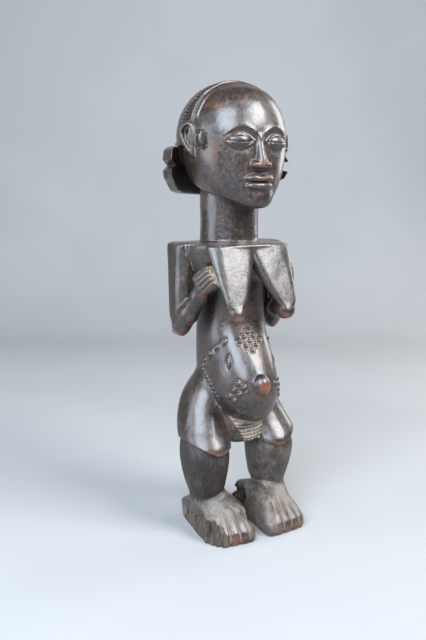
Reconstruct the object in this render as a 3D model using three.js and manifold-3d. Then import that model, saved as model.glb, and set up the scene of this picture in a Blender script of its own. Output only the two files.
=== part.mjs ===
// A standing female ancestor figure, carved in one piece from a block of dark hardwood.
// She stands on bent legs with her hands on her breasts. Her hair is drawn back behind a
// headband into a cross-shaped chignon, and raised scars mark the belly.
// Millimetres. +Z is up, she faces -Y, and her left side is +X. The origin is under the
// middle of the figure, on the surface that the soles stand on.
import * as THREE from "three";
import { mergeVertices } from "three/addons/utils/BufferGeometryUtils.js";
import Module from "manifold-3d";

const wasm = await Module();
wasm.setup();

// Driving dimensions
const CROWN_Z = 443;
const SHOULDER_Z = 292;
const KNEE_Z = 90;
const ANKLE_Z = 34;
const LEG_X = 35;
const LEAN = { shift: 7, fadesOutAt: 220 };

// A ring of points around a rounded-square section. side is its half-width, front and back
// its reach from the centre line, power 2 is an ellipse, and fan widens it towards the front.
function ring({ x = 0, z, side, front, back, power = 2.2, fan = 0 }, count) {
  const middle = (front + back) / 2;
  const reach = (back - front) / 2;
  return Array.from({ length: count }, (_, i) => {
    const angle = (i / count) * 2 * Math.PI;
    const across = Math.cos(angle);
    const along = Math.sin(angle);
    const round = (v) => Math.sign(v) * Math.abs(v) ** (2 / power);
    return new THREE.Vector3(
      x + side * round(across) * (1 - fan * round(along)),
      middle + reach * round(along),
      z,
    );
  });
}

// A closed skin over a stack of rings, with a flat cap on each end.
function skin(rings) {
  const count = rings[0].length;
  const points = rings.flat();
  const centre = (r) =>
    r.reduce((sum, p) => sum.add(p), new THREE.Vector3()).divideScalar(count);
  points.push(centre(rings[0]), centre(rings[rings.length - 1]));
  const index = [];
  for (let r = 0; r + 1 < rings.length; r++) {
    for (let i = 0; i < count; i++) {
      const a = r * count + i;
      const b = r * count + ((i + 1) % count);
      index.push(a, b, b + count, a, b + count, a + count);
    }
  }
  const last = (rings.length - 1) * count;
  for (let i = 0; i < count; i++) {
    const j = (i + 1) % count;
    index.push(j, i, points.length - 2, last + i, last + j, points.length - 1);
  }
  return new THREE.BufferGeometry().setFromPoints(points).setIndex(index);
}

// A column of horizontal sections, from the lowest up.
function column(sections, count = 24) {
  return solid(skin(sections.map((section) => ring(section, count))));
}

// A limb of sections square to its path. Each stop is { at, side, deep }, and side lies
// along the hint as far as the path allows.
function limb(stops, count = 14, power = 2.3, hint = new THREE.Vector3(1, 0, 0)) {
  const places = stops.map((stop) => new THREE.Vector3(...stop.at));
  const rings = stops.map(({ side, deep }, i) => {
    const along = places[Math.min(i + 1, places.length - 1)]
      .clone()
      .sub(places[Math.max(i - 1, 0)])
      .normalize();
    const across = hint.clone().addScaledVector(along, -along.dot(hint)).normalize();
    const other = along.clone().cross(across);
    return ring({ z: 0, side, front: -deep, back: deep, power }, count).map((p) =>
      places[i].clone().addScaledVector(across, p.x).addScaledVector(other, p.y),
    );
  });
  return solid(skin(rings));
}

// A three.js geometry as a manifold-3d solid, and back.
function solid(geometry) {
  const bare = geometry.clone();
  bare.deleteAttribute("normal");
  bare.deleteAttribute("uv");
  const merged = mergeVertices(bare, 1e-4);
  return new wasm.Manifold(
    new wasm.Mesh({
      numProp: 3,
      vertProperties: merged.attributes.position.array,
      triVerts: new Uint32Array(merged.index.array),
    }),
  );
}

function geometryOf(shape) {
  const mesh = shape.getMesh();
  return new THREE.BufferGeometry()
    .setAttribute("position", new THREE.BufferAttribute(mesh.vertProperties, 3))
    .setIndex(new THREE.BufferAttribute(mesh.triVerts, 1));
}

function placed(geometry, { at = [0, 0, 0], turn = [0, 0, 0] }) {
  const quaternion = new THREE.Quaternion().setFromEuler(
    new THREE.Euler(...turn.map(THREE.MathUtils.degToRad), "XYZ"),
  );
  const matrix = new THREE.Matrix4().compose(
    new THREE.Vector3(...at),
    quaternion,
    new THREE.Vector3(1, 1, 1),
  );
  return solid(geometry.clone().applyMatrix4(matrix));
}

const ball = ([rx, ry, rz], place, around = 12, up = 8) =>
  placed(new THREE.SphereGeometry(1, around, up).scale(rx, ry, rz), place);

const box = ([sx, sy, sz], place) => placed(new THREE.BoxGeometry(sx, sy, sz), place);

const joined = (shapes) => shapes.reduce((all, shape) => all.add(shape));

function mirrored(shape) {
  const geometry = geometryOf(shape).scale(-1, 1, 1);
  const index = geometry.index.array;
  for (let i = 0; i < index.length; i += 3) [index[i], index[i + 1]] = [index[i + 1], index[i]];
  return solid(geometry);
}

const bothSides = (make) => {
  const right = make();
  return right.add(mirrored(right));
};

// Head: an egg that is cut off below by the sloping plane of the jaw.
const HEAD = [
  { z: 320, side: 16, front: -54, back: -8, power: 2.4 },
  { z: 334, side: 26, front: -57, back: 18, power: 2.4 },
  { z: 348, side: 36, front: -58, back: 32, power: 2.4 },
  { z: 364, side: 43.5, front: -58, back: 41, power: 2.4 },
  { z: 380, side: 47, front: -58, back: 46, power: 2.4 },
  { z: 396, side: 48, front: -58, back: 48, power: 2.4 },
  { z: 410, side: 45.5, front: -55.5, back: 46, power: 2.3 },
  { z: 422, side: 40, front: -50.5, back: 41, power: 2.2 },
  { z: 432, side: 31.5, front: -43, back: 33, power: 2.1 },
  { z: 439, side: 21, front: -34, back: 21, power: 2 },
  { z: CROWN_Z, side: 8, front: -20, back: 3, power: 2 },
];
const HEAD_SIDES = 24;
const JAW = { front: [-58, 327], back: [30, 353] };

// Wider and deeper than the head, for the boxes that cut it.
const CLEAR = 140;

const grown = (sections, by) =>
  sections.map((s) => ({
    ...s,
    z: s.z + (s.z > 430 ? by : 0),
    side: s.side + by,
    front: s.front - by,
    back: s.back + by,
  }));

function jawCut() {
  const [y0, z0] = JAW.front;
  const [y1, z1] = JAW.back;
  const slope = Math.atan2(z1 - z0, y1 - y0);
  const half = CLEAR / 2;
  return box([CLEAR, 2 * CLEAR, CLEAR], {
    at: [0, y0 + half * Math.sin(slope), z0 - half * Math.cos(slope)],
    turn: [THREE.MathUtils.radToDeg(slope), 0, 0],
  });
}

// Headband: two fine ridges from ear to ear. Behind it the hair stands proud of the
// forehead, and its front edge is notched like a ladder.
const BAND = { front: -21.5, wide: 2.2, gap: 1.6, lift: 1.8, lowest: 408 };
const HAIR = { front: -14, back: 60, lift: 2.4, lowest: 374 };
const LADDER = { back: -4, lowest: 14, notches: 15, depth: 2.2, width: 3 };

// The arch of the hair over the head, seen from the front.
const ARCH = { centre: 396, side: 49.8, up: 49.4, power: 2.1 };

const slice = (front, back, lowest, lift) =>
  column(grown(HEAD, lift), HEAD_SIDES).intersect(
    box([CLEAR, back - front, CLEAR], { at: [0, (front + back) / 2, lowest + CLEAR / 2] }),
  );

function band() {
  const { front, wide, gap, lift, lowest } = BAND;
  const second = front + wide + gap;
  return slice(front, front + wide, lowest, lift).add(slice(second, second + wide, lowest, lift));
}

function hair() {
  const { back, lowest, notches, depth, width } = LADDER;
  const { centre, side, up, power } = ARCH;
  let shape = slice(HAIR.front, HAIR.back, HAIR.lowest, HAIR.lift);
  for (let i = 0; i < notches; i++) {
    const degrees = THREE.MathUtils.lerp(lowest, 180 - lowest, i / (notches - 1));
    const [c, s] = [Math.cos, Math.sin].map((f) => f(THREE.MathUtils.degToRad(degrees)));
    const out = ((Math.abs(c) / side) ** power + (s / up) ** power) ** (-1 / power);
    shape = shape.subtract(
      box([2 * depth, back - HAIR.front, width], {
        at: [out * c, (back + HAIR.front) / 2, centre + out * s],
        turn: [0, -degrees, 0],
      }),
    );
  }
  return shape;
}

// Face, on the carver's usual thirds: eyes half way up the head, then nose and mouth.
const EYE = { x: 19.5, y: -54, z: 387, size: [10.5, 4.2, 5.4], turn: [4, 0, -14] };
const SLIT = { out: 5, deep: 6, high: 1, below: 0.6 };
const SOCKET = { y: -58.5, size: [15, 6, 12] };
const NOSE = { root: 400, tip: 363, wing: 6, out: 9 };
const MOUTH = { y: -57, z: 350.5, wide: 15, lip: 4.4, deep: 6.5 };

function eye() {
  const { x, y, z, size, turn } = EYE;
  const { out, deep, high, below } = SLIT;
  const lid = ball(size, { at: [-x, y, z], turn }, 10, 6);
  const slit = box([2 * size[0], deep, high], { at: [-x, y - out, z - below], turn });
  return lid.subtract(slit);
}

const socket = () =>
  ball(SOCKET.size, { at: [-EYE.x, SOCKET.y, EYE.z], turn: EYE.turn }, 10, 6);

function nose() {
  const { root, tip, wing, out } = NOSE;
  const bridge = limb(
    [
      { at: [0, -55, root + 4], side: 3, deep: 2 },
      { at: [0, -57, root - 8], side: 3, deep: 3.4 },
      { at: [0, -59.5, (root + tip) / 2], side: 4, deep: 4.5 },
      { at: [0, -61, tip + 3], side: wing, deep: out - 2 },
      { at: [0, -60, tip - 1], side: wing - 0.5, deep: out - 4 },
    ],
    10,
    1.8,
  );
  const nostril = () => ball([4, 5.2, 3.8], { at: [-wing, -59.5, tip + 2.4] }, 8, 5);
  return bridge.add(bothSides(nostril));
}

function mouth() {
  const { y, z, wide, lip, deep } = MOUTH;
  const upper = ball([wide, deep, lip], { at: [0, y, z + lip - 1] }, 12, 6);
  const lower = ball([wide - 1, deep, lip], { at: [0, y + 0.4, z - lip + 0.6] }, 12, 6);
  return upper.add(lower);
}

// Ear: a hollow oval shell, with a small knob on the cheek in front of it.
const EAR = { at: [-49, -11, 389], size: [5.5, 9, 16.5], turn: [-6, 0, -14] };
const EAR_HOLLOW = { at: [-52.4, -11.4, 390], size: [5.5, 6, 13.5] };
const EAR_KNOB = { at: [-46.4, -27, 388], size: [2.6, 4, 5] };

function ear() {
  const { turn } = EAR;
  const shell = ball(EAR.size, { at: EAR.at, turn }, 10, 6);
  const hollow = ball(EAR_HOLLOW.size, { at: EAR_HOLLOW.at, turn }, 8, 6);
  const knob = ball(EAR_KNOB.size, { at: EAR_KNOB.at, turn }, 6, 5);
  return { shell, hollow, knob };
}

// Chignon: a cross in one thick curved plate at the back of the head. The side arms bend
// forwards and end in a notch like a fish's tail, and the lower arm spreads like a fan.
const CHIGNON = { z: 367, y: 53, thick: 15, forward: 48, reach: 63, above: 30, below: 28 };
const SIDE_ARM = { half: 15, root: 18, notchDeep: 11, notchHalf: 5 };
const FAN = { root: 24, wide: 49, edge: 12, upper: 37 };

function chignonPlate() {
  const { z, y, thick, forward, reach, above, below } = CHIGNON;
  const steps = 8;
  const stops = Array.from({ length: steps + 1 }, (_, i) => {
    const t = (2 * i) / steps - 1;
    return {
      at: [-(reach + 2) * t, y - forward * t ** 2, z + (above - below) / 2],
      side: (above + below) / 2 + 2,
      deep: (thick / 2) * (1.05 - 0.25 * t ** 2),
    };
  });
  return limb(stops, 10, 3.4, new THREE.Vector3(0, 0, 1));
}

// The right half of the cross seen from behind, from the top down.
function chignonOutline() {
  const { reach, above, below } = CHIGNON;
  const { half, root, notchDeep, notchHalf } = SIDE_ARM;
  const { wide, edge, upper } = FAN;
  const slot = FAN.root;
  const right = [
    [0, above],
    [upper - 7, above - 2],
    [upper, above - 8],
    [slot, root - 3],
    [reach - 12, half + 3],
    [reach - 3, half - 1],
    [reach, notchHalf],
    [reach - notchDeep, 0],
    [reach, -notchHalf],
    [reach - 3, -half + 3],
    [reach - 12, -half + 1],
    [slot + 16, -root + 4],
    [wide, -edge - 5],
    [wide - 4, -below + 5],
    [wide - 14, -below + 2],
    [0, -below],
  ];
  const left = right.slice(1, -1).reverse().map(([x, z]) => [-x, z]);
  return new THREE.Shape([...right, ...left].map(([x, z]) => new THREE.Vector2(x, z)));
}

function chignon() {
  const { z } = CHIGNON;
  const depth = 80;
  const through = new THREE.ExtrudeGeometry(chignonOutline(), { depth, bevelEnabled: false });
  const cross = placed(through, { at: [0, depth - 10, z], turn: [90, 0, 0] });
  return chignonPlate().intersect(cross);
}

// Neck and trunk
const NECK = [
  { z: 288, side: 29, front: -28.5, back: 28, power: 2.1 },
  { z: 318, side: 28.5, front: -28, back: 27, power: 2.1 },
  { z: 362, side: 29, front: -30, back: 28, power: 2.1 },
];
const TRUNK = [
  { z: 118, side: 33, front: -22, back: 30, power: 2.4 },
  { z: 140, side: 33, front: -26, back: 30, power: 2.5 },
  { z: 160, side: 33, front: -30, back: 29, power: 2.7 },
  { z: 200, side: 31.5, front: -36, back: 28, power: 2.7 },
  { z: 230, side: 30, front: -36, back: 26, power: 2.7 },
  { z: 258, side: 33, front: -36, back: 25, power: 2.8 },
  { z: 272, side: 39, front: -38, back: 25, power: 2.9 },
  { z: 290, side: 44, front: -38, back: 25, power: 3 },
];
const YOKE = [
  { z: 258, side: 38, front: -38, back: 20, power: 2.6 },
  { z: 270, side: 44, front: -46, back: 24, power: 3 },
  { z: 283, side: 47, front: -47, back: 25, power: 3.2 },
  { z: SHOULDER_Z - 2.5, side: 48.5, front: -46, back: 27, power: 3.2 },
  { z: SHOULDER_Z, side: 48, front: -45.5, back: 26.5, power: 3.2 },
  { z: SHOULDER_Z + 3, side: 34, front: -31, back: 24, power: 2.4 },
];
const BELLY = [
  { z: 119, side: 8, front: -46, back: -10, power: 2 },
  { z: 122, side: 15, front: -54, back: 0, power: 2 },
  { z: 129, side: 23, front: -61, back: 8, power: 2 },
  { z: 139, side: 29, front: -65, back: 12, power: 2.1 },
  { z: 151, side: 32, front: -66.5, back: 15, power: 2.1 },
  { z: 164, side: 32, front: -64.5, back: 16, power: 2.1 },
  { z: 178, side: 31, front: -58.5, back: 16, power: 2.2 },
  { z: 193, side: 29.5, front: -49.5, back: 16, power: 2.3 },
  { z: 208, side: 27, front: -41.5, back: 16, power: 2.4 },
  { z: 222, side: 22, front: -34, back: 16, power: 2.4 },
];
const NAVEL = { at: [0, -64.5, 161], size: [8, 8, 8.5] };

// The breasts run together below the collar, and part lower down into two long cones.
const BREAST = [
  { x: -27.5, z: 221.5, side: 3, front: -67.5, back: -62.5, power: 2 },
  { x: -27.3, z: 224, side: 5.5, front: -68.5, back: -58, power: 2.1 },
  { x: -26.5, z: 231, side: 10, front: -67.5, back: -46, power: 2.2 },
  { x: -24, z: 243, side: 15, front: -64, back: -28, power: 2.2 },
  { x: -22, z: 258, side: 20, front: -58.5, back: -15, power: 2.4 },
  { x: -22, z: 274, side: 23.5, front: -52, back: -8, power: 2.5 },
  { x: -22, z: SHOULDER_Z - 1.5, side: 26, front: -46, back: -4, power: 2.8 },
];

const breast = () => column(BREAST, 14);

// Arm: a slab of an upper arm, a forearm that rises to the breast, and a hand with
// four grooves that part the fingers.
const UPPER_ARM = [
  { x: -52, z: 203, side: 4, front: -3, back: 9, power: 2.2 },
  { x: -51, z: 209, side: 8, front: -9, back: 14, power: 2.3 },
  { x: -49.5, z: 222, side: 11.5, front: -12, back: 20, power: 2.5 },
  { x: -48, z: 248, side: 13, front: -13, back: 22, power: 2.6 },
  { x: -46, z: 272, side: 14, front: -14, back: 24, power: 2.6 },
  { x: -45, z: SHOULDER_Z, side: 15, front: -16, back: 25, power: 2.6 },
  { x: -44, z: SHOULDER_Z + 2.5, side: 13.5, front: -12, back: 23, power: 2.6 },
];
const ELBOW = [-52, -2, 211];
const WRIST = [-46, -27, 247];
const HAND = { at: [-44, -36, 259], size: [7, 13, 17], turn: [-32, 0, 16], grooves: 4, pitch: 5.4 };

const upperArm = () => column(UPPER_ARM, 14);

const forearm = () =>
  limb(
    [
      { at: [-51.5, 6, 204], side: 7, deep: 6 },
      { at: ELBOW, side: 9.5, deep: 10 },
      { at: [-50, -12, 227], side: 9.5, deep: 10 },
      { at: WRIST, side: 8, deep: 8.5 },
      { at: [-45, -33, 257], side: 7, deep: 9 },
    ],
    12,
  );

function hand() {
  const { at, size, grooves, pitch, turn } = HAND;
  const euler = new THREE.Euler(...turn.map(THREE.MathUtils.degToRad));
  let palm = ball(size, { at, turn }, 12, 6);
  for (let i = 0; i < grooves; i++) {
    const up = (i - (grooves - 1) / 2) * pitch;
    const out = new THREE.Vector3(-size[0] * 0.95, -4, up).applyEuler(euler);
    palm = palm.subtract(
      box([5, 24, 1.6], { at: [at[0] + out.x, at[1] + out.y, at[2] + out.z], turn }),
    );
  }
  return palm;
}

// Legs: thighs that slant forwards to an overhanging knee edge, and round calves.
const THIGH = [
  { x: -LEG_X - 2.2, z: KNEE_Z - 1, side: 20.8, front: -40, back: 6, power: 2.3 },
  { x: -LEG_X - 2, z: KNEE_Z + 2, side: 24, front: -44, back: 10, power: 2.3 },
  { x: -LEG_X, z: KNEE_Z + 12, side: 24.5, front: -38, back: 19, power: 2.4 },
  { x: -33, z: 113, side: 24.5, front: -30, back: 26, power: 2.4 },
  { x: -30.5, z: 126, side: 24, front: -24, back: 30, power: 2.3 },
  { x: -27, z: 138, side: 23, front: -20, back: 31, power: 2.3 },
  { x: -21, z: 150, side: 21, front: -18, back: 30, power: 2.3 },
  { x: -15, z: 162, side: 17, front: -14, back: 27, power: 2.3 },
];
const CALF = [
  { x: -LEG_X, z: ANKLE_Z - 12, side: 18.5, front: -30, back: 8, power: 2.2 },
  { x: -LEG_X, z: ANKLE_Z + 4, side: 18.5, front: -31, back: 7, power: 2.2 },
  { x: -LEG_X, z: 52, side: 20.5, front: -33, back: 9, power: 2.2 },
  { x: -LEG_X, z: 68, side: 22, front: -35, back: 11, power: 2.2 },
  { x: -LEG_X, z: KNEE_Z + 6, side: 23, front: -38, back: 12, power: 2.2 },
];

const thigh = () => column(THIGH, 14);

const calf = () => column(CALF, 14);

// Foot: a wedge with a broad square front, parted into toes by grooves that fan out.
const FOOT = [
  { x: -31, z: 0, side: 20.5, front: -57, back: 31, power: 4.5, fan: 0.2 },
  { x: -31, z: 5, side: 21, front: -59.5, back: 33, power: 4.5, fan: 0.2 },
  { x: -31, z: 12, side: 21.5, front: -58, back: 33, power: 4, fan: 0.18 },
  { x: -32, z: 20, side: 21.5, front: -50, back: 31, power: 3.2, fan: 0.12 },
  { x: -33.5, z: 28, side: 21, front: -41, back: 26, power: 2.6, fan: 0.05 },
  { x: -LEG_X, z: ANKLE_Z + 1, side: 19.5, front: -33, back: 15, power: 2.3 },
];
const TOES = { x: -31, at: [-52, 18], grooves: 4, pitch: 9.4, width: 2, depth: 3, fan: 0.55, rise: 52 };

function foot() {
  const { x, at, grooves, pitch, width, depth, fan, rise } = TOES;
  const [y, z] = at;
  const slope = THREE.MathUtils.degToRad(rise);
  const high = 12;
  const lift = high / 2 - depth;
  let block = column(FOOT, 14);
  for (let i = 0; i < grooves; i++) {
    const across = (i - (grooves - 1) / 2) * pitch;
    block = block.subtract(
      box([width, 48, high], {
        at: [x + across, y - lift * Math.sin(slope), z + lift * Math.cos(slope)],
        turn: [rise, 0, -across * fan],
      }),
    );
  }
  return block;
}

// Apron: ridges across the front of the hips, narrowing downwards, on the block between
// the thighs.
const APRON = { top: 121, pitch: 4.6, ridges: 5, y: -35, wide: 21, narrowing: 2.6 };
const FORK = [
  { z: 92, side: 15, front: -24, back: 8, power: 2.6 },
  { z: 97, side: 19, front: -33, back: 14, power: 2.6 },
  { z: 108, side: 22, front: -36, back: 20, power: 2.6 },
  { z: 130, side: 25, front: -35, back: 24, power: 2.6 },
];

function apron() {
  const { top, pitch, ridges, y, wide, narrowing } = APRON;
  const rows = Array.from({ length: ridges }, (_, i) =>
    ball([wide - i * narrowing, 4, 1.7], { at: [0, y, top - i * pitch] }, 8, 4),
  );
  return joined([column(FORK, 12), ...rows]);
}

// Scars: small raised studs. Each stands where a level ray from the middle of the body,
// turned by some degrees from the front, comes out of the trunk or the belly.
const STUD = { radius: 2.6, lift: 2.6, sunk: 0.6 };
const DIAMOND = { turn: 1.5, z: 200.5, across: 6.2, down: 4.6, rows: 3 };
const CHEVRON = { top: [36, 200], corner: [88, 169], foot: [36, 143], above: 5, below: 6 };
const CLUSTER = { turn: 30, z: 162, across: -10, rise: 4, down: 7.5 };

function skinAt(degrees, z) {
  const angle = THREE.MathUtils.degToRad(degrees);
  const along = [-Math.sin(angle), -Math.cos(angle)];
  const isInside = (x, y) =>
    [TRUNK, BELLY].some((sections) => {
      const next = sections.findIndex((section) => section.z > z);
      const [low, high] = [sections[next - 1], sections[next]];
      const at = (key) => THREE.MathUtils.mapLinear(z, low.z, high.z, low[key], high[key]);
      const middle = (at("front") + at("back")) / 2;
      const reach = (at("back") - at("front")) / 2;
      return (Math.abs(x) / at("side")) ** at("power") + (Math.abs(y - middle) / reach) ** at("power") < 1;
    });
  let [near, far] = [0, 90];
  while (far - near > 0.05) {
    const out = (near + far) / 2;
    if (isInside(out * along[0], out * along[1])) near = out;
    else far = out;
  }
  return [near * along[0], near * along[1], z];
}

function stud([degrees, z]) {
  const { radius, lift, sunk } = STUD;
  const [x, y] = skinAt(degrees, z);
  const inward = sunk / Math.hypot(x, y);
  const shape = new THREE.OctahedronGeometry(1).scale(radius, lift, radius);
  return placed(shape, { at: [x * (1 - inward), y * (1 - inward), z], turn: [0, 0, -degrees] });
}

// A diamond of nine over the navel, and on each flank an open chevron and a block of six.
function scars() {
  const { turn, z, across, down, rows } = DIAMOND;
  const half = (rows - 1) / 2;
  const middle = [];
  for (let i = -half; i <= half; i++)
    for (let j = -half; j <= half; j++)
      middle.push([turn + (i - j) * across, z + (i + j) * down]);
  const flank = [];
  const row = ([turn0, z0], [turn1, z1], count) => {
    for (let i = 0; i < count; i++)
      flank.push([
        THREE.MathUtils.lerp(turn0, turn1, i / count),
        THREE.MathUtils.lerp(z0, z1, i / count),
      ]);
  };
  row(CHEVRON.top, CHEVRON.corner, CHEVRON.above);
  row(CHEVRON.corner, CHEVRON.foot, CHEVRON.below);
  for (let i = 0; i < 2; i++)
    for (let j = 0; j < 3; j++)
      flank.push([
        CLUSTER.turn + i * CLUSTER.across,
        CLUSTER.z + i * CLUSTER.rise - j * CLUSTER.down,
      ]);
  return joined([...middle.map(stud), bothSides(() => joined(flank.map(stud)))]);
}

// Damage: the outer side of the right foot is split away, and the inner heel of the left
// foot is eaten into holes.
function damage() {
  const split = box([20, 70, 40], { at: [-64, -10, 8], turn: [0, -24, 8] });
  const holes = [
    [15, 24, 24, 6.5],
    [14, 12, 14, 6],
    [20, 30, 11, 5],
  ].map(([x, y, z, r]) => ball([r, r, r * 1.2], { at: [x, y, z] }, 8, 6));
  return joined([split, ...holes]);
}

function figure() {
  const ears = ear();
  const head = column(HEAD, HEAD_SIDES)
    .subtract(bothSides(socket))
    .add(bothSides(eye))
    .add(nose())
    .add(mouth())
    .subtract(jawCut())
    .add(band())
    .add(hair())
    .add(bothSides(() => ears.shell))
    .subtract(bothSides(() => ears.hollow))
    .add(bothSides(() => ears.knob));
  const body = joined([
    head,
    chignon(),
    column(NECK, 18),
    column(TRUNK, 16),
    column(YOKE, 22),
    column(BELLY, 18),
    ball(NAVEL.size, { at: NAVEL.at }, 12, 8),
    apron(),
    bothSides(breast),
    bothSides(upperArm),
    bothSides(forearm),
    bothSides(hand),
    bothSides(thigh),
    bothSides(calf),
    bothSides(foot),
    scars(),
  ]);
  return largest(body.subtract(damage()));
}

// The outer skin alone, so that a pocket closed in between two forms is solid wood.
function largest(shape) {
  const bodies = shape.decompose();
  return bodies.reduce((most, one) => (one.volume() > most.volume() ? one : most));
}

// The trunk leans a little, so the legs stand to her left of the head.
function leaned(geometry) {
  const place = geometry.attributes.position;
  for (let i = 0; i < place.count; i++) {
    const lift = Math.max(0, 1 - place.getZ(i) / LEAN.fadesOutAt);
    place.setX(i, place.getX(i) + LEAN.shift * lift);
  }
  return geometry;
}

function centred(geometry) {
  geometry.computeBoundingBox();
  const { min, max } = geometry.boundingBox;
  return geometry.translate(-(min.x + max.x) / 2, -(min.y + max.y) / 2, -min.z);
}

const wood = new THREE.MeshStandardMaterial({ color: 0x2e211c, roughness: 0.45, metalness: 0 });
const carving = new THREE.Mesh(centred(leaned(geometryOf(figure()))), wood);
carving.name = "figure";

const group = new THREE.Group();
group.add(carving);
export default group;
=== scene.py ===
"""A standing female ancestor figure, carved in one piece of dark hardwood.

The carving is worked out as a field of distances to its surface, in millimetres. The field
joins and cuts the same forms as the solid part, from the same sizes, and adds the finer
carving. The skin of the field becomes one mesh with a procedural wood material.
"""

import math

import bpy
import numpy as np
from mathutils import Matrix, Vector


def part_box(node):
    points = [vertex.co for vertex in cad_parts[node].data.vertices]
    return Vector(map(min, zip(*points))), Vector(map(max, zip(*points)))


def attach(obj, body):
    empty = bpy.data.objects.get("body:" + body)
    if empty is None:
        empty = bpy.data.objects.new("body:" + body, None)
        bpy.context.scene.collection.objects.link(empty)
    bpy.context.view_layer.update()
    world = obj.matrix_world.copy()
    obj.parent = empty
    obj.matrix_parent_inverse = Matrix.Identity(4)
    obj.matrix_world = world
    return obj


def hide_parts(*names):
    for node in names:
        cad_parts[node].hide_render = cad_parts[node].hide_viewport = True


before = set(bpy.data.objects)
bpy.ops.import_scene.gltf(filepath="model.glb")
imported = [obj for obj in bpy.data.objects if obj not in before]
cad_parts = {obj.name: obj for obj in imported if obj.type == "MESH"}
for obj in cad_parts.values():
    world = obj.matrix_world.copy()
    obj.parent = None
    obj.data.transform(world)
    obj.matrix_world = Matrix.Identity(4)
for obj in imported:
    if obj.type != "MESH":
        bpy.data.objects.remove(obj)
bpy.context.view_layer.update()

bl_info = {
    "name": "Standing ancestor figure",
    "version": (1, 0, 0),
    "blender": (4, 5, 0),
    "location": "View3D > Sidebar > Carving",
    "description": "Carves a standing wooden figure and sets it on a plain stage",
    "category": "Object",
}

MM = 0.001
NODE = "figure"

# Driving sizes, in millimetres. She faces -Y, +Z is up and her left side is +X. The neck
# stands on the Z axis until the last step, which puts the figure in the frame of the part.
CROWN_Z = 443.0
SHOULDER_Z = 292.0
KNEE_Z = 90.0
ANKLE_Z = 34.0
LEAN_SHIFT = 7.0
LEAN_FADES_AT = 220.0
CHIGNON_REACH = 63.0
NAVEL_TIP = -72.5


# Field helpers: smooth joins and cuts, noise and profiles

def join(a, b, k=2.0):
    """The nearer of two fields, blended over k millimetres."""
    h = np.maximum(k - np.abs(a - b), 0.0) / k
    return np.minimum(a, b) - h * h * k * 0.25


def common(a, b, k=2.0):
    """What two fields share, with the edge rounded over k millimetres."""
    return -join(-a, -b, k)


def smooth(low, high, value):
    """A smooth step from 0 at low to 1 at high."""
    t = np.clip((value - low) / (high - low), 0.0, 1.0)
    return t * t * (3.0 - 2.0 * t)


def bump(value, width):
    """A rounded ridge that is 1 at 0 and fades out at about width."""
    return np.exp(-((value / (0.55 * width)) ** 2))


def unit(v):
    """A vector in the same direction that is 1 long."""
    return np.asarray(v, float) / np.linalg.norm(v)


def rotation(degrees):
    """The matrix of a turn about X, then Y, then Z, as the part's source turns its forms."""
    x, y, z = np.radians(degrees)
    cx, sx, cy, sy, cz, sz = (
        math.cos(x), math.sin(x), math.cos(y), math.sin(y), math.cos(z), math.sin(z),
    )
    rx = np.array([[1, 0, 0], [0, cx, -sx], [0, sx, cx]])
    ry = np.array([[cy, 0, sy], [0, 1, 0], [-sy, 0, cy]])
    rz = np.array([[cz, -sz, 0], [sz, cz, 0], [0, 0, 1]])
    return rx @ ry @ rz


class Noise:
    """Smooth random values on a lattice, the same on each run."""

    def __init__(self, seed, size=32):
        self.size = size
        self.grid = np.random.default_rng(seed).uniform(-1, 1, (size,) * 3).astype(np.float32)

    def __call__(self, points, scale):
        q = points / np.asarray(scale, np.float32)
        cell = np.floor(q).astype(np.int32)
        t = (q - cell).astype(np.float32)
        t = t * t * (3 - 2 * t)
        total = np.zeros(len(points), np.float32)
        for corner in range(8):
            step = [(corner >> axis) & 1 for axis in range(3)]
            index = [(cell[:, axis] + step[axis]) % self.size for axis in range(3)]
            weight = np.ones(len(points), np.float32)
            for axis in range(3):
                weight *= t[:, axis] if step[axis] else 1 - t[:, axis]
            total += weight * self.grid[index[0], index[1], index[2]]
        return total


# Forms

FLAT_INSET = 0.999  # keeps a flat a hair inside the corners on its two sides
NEVER_FLAT = 1e-4  # the least slope that a distance is divided by


def within(*box):
    """Marks a form with the box that holds it: the least and most x, y and z."""
    def mark(form):
        form.box = box
        return form
    return mark


def box_around(at, reach):
    """The box that reaches equally far from a point on every side."""
    return tuple(limit for a in at for limit in (a - reach, a + reach))


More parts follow.
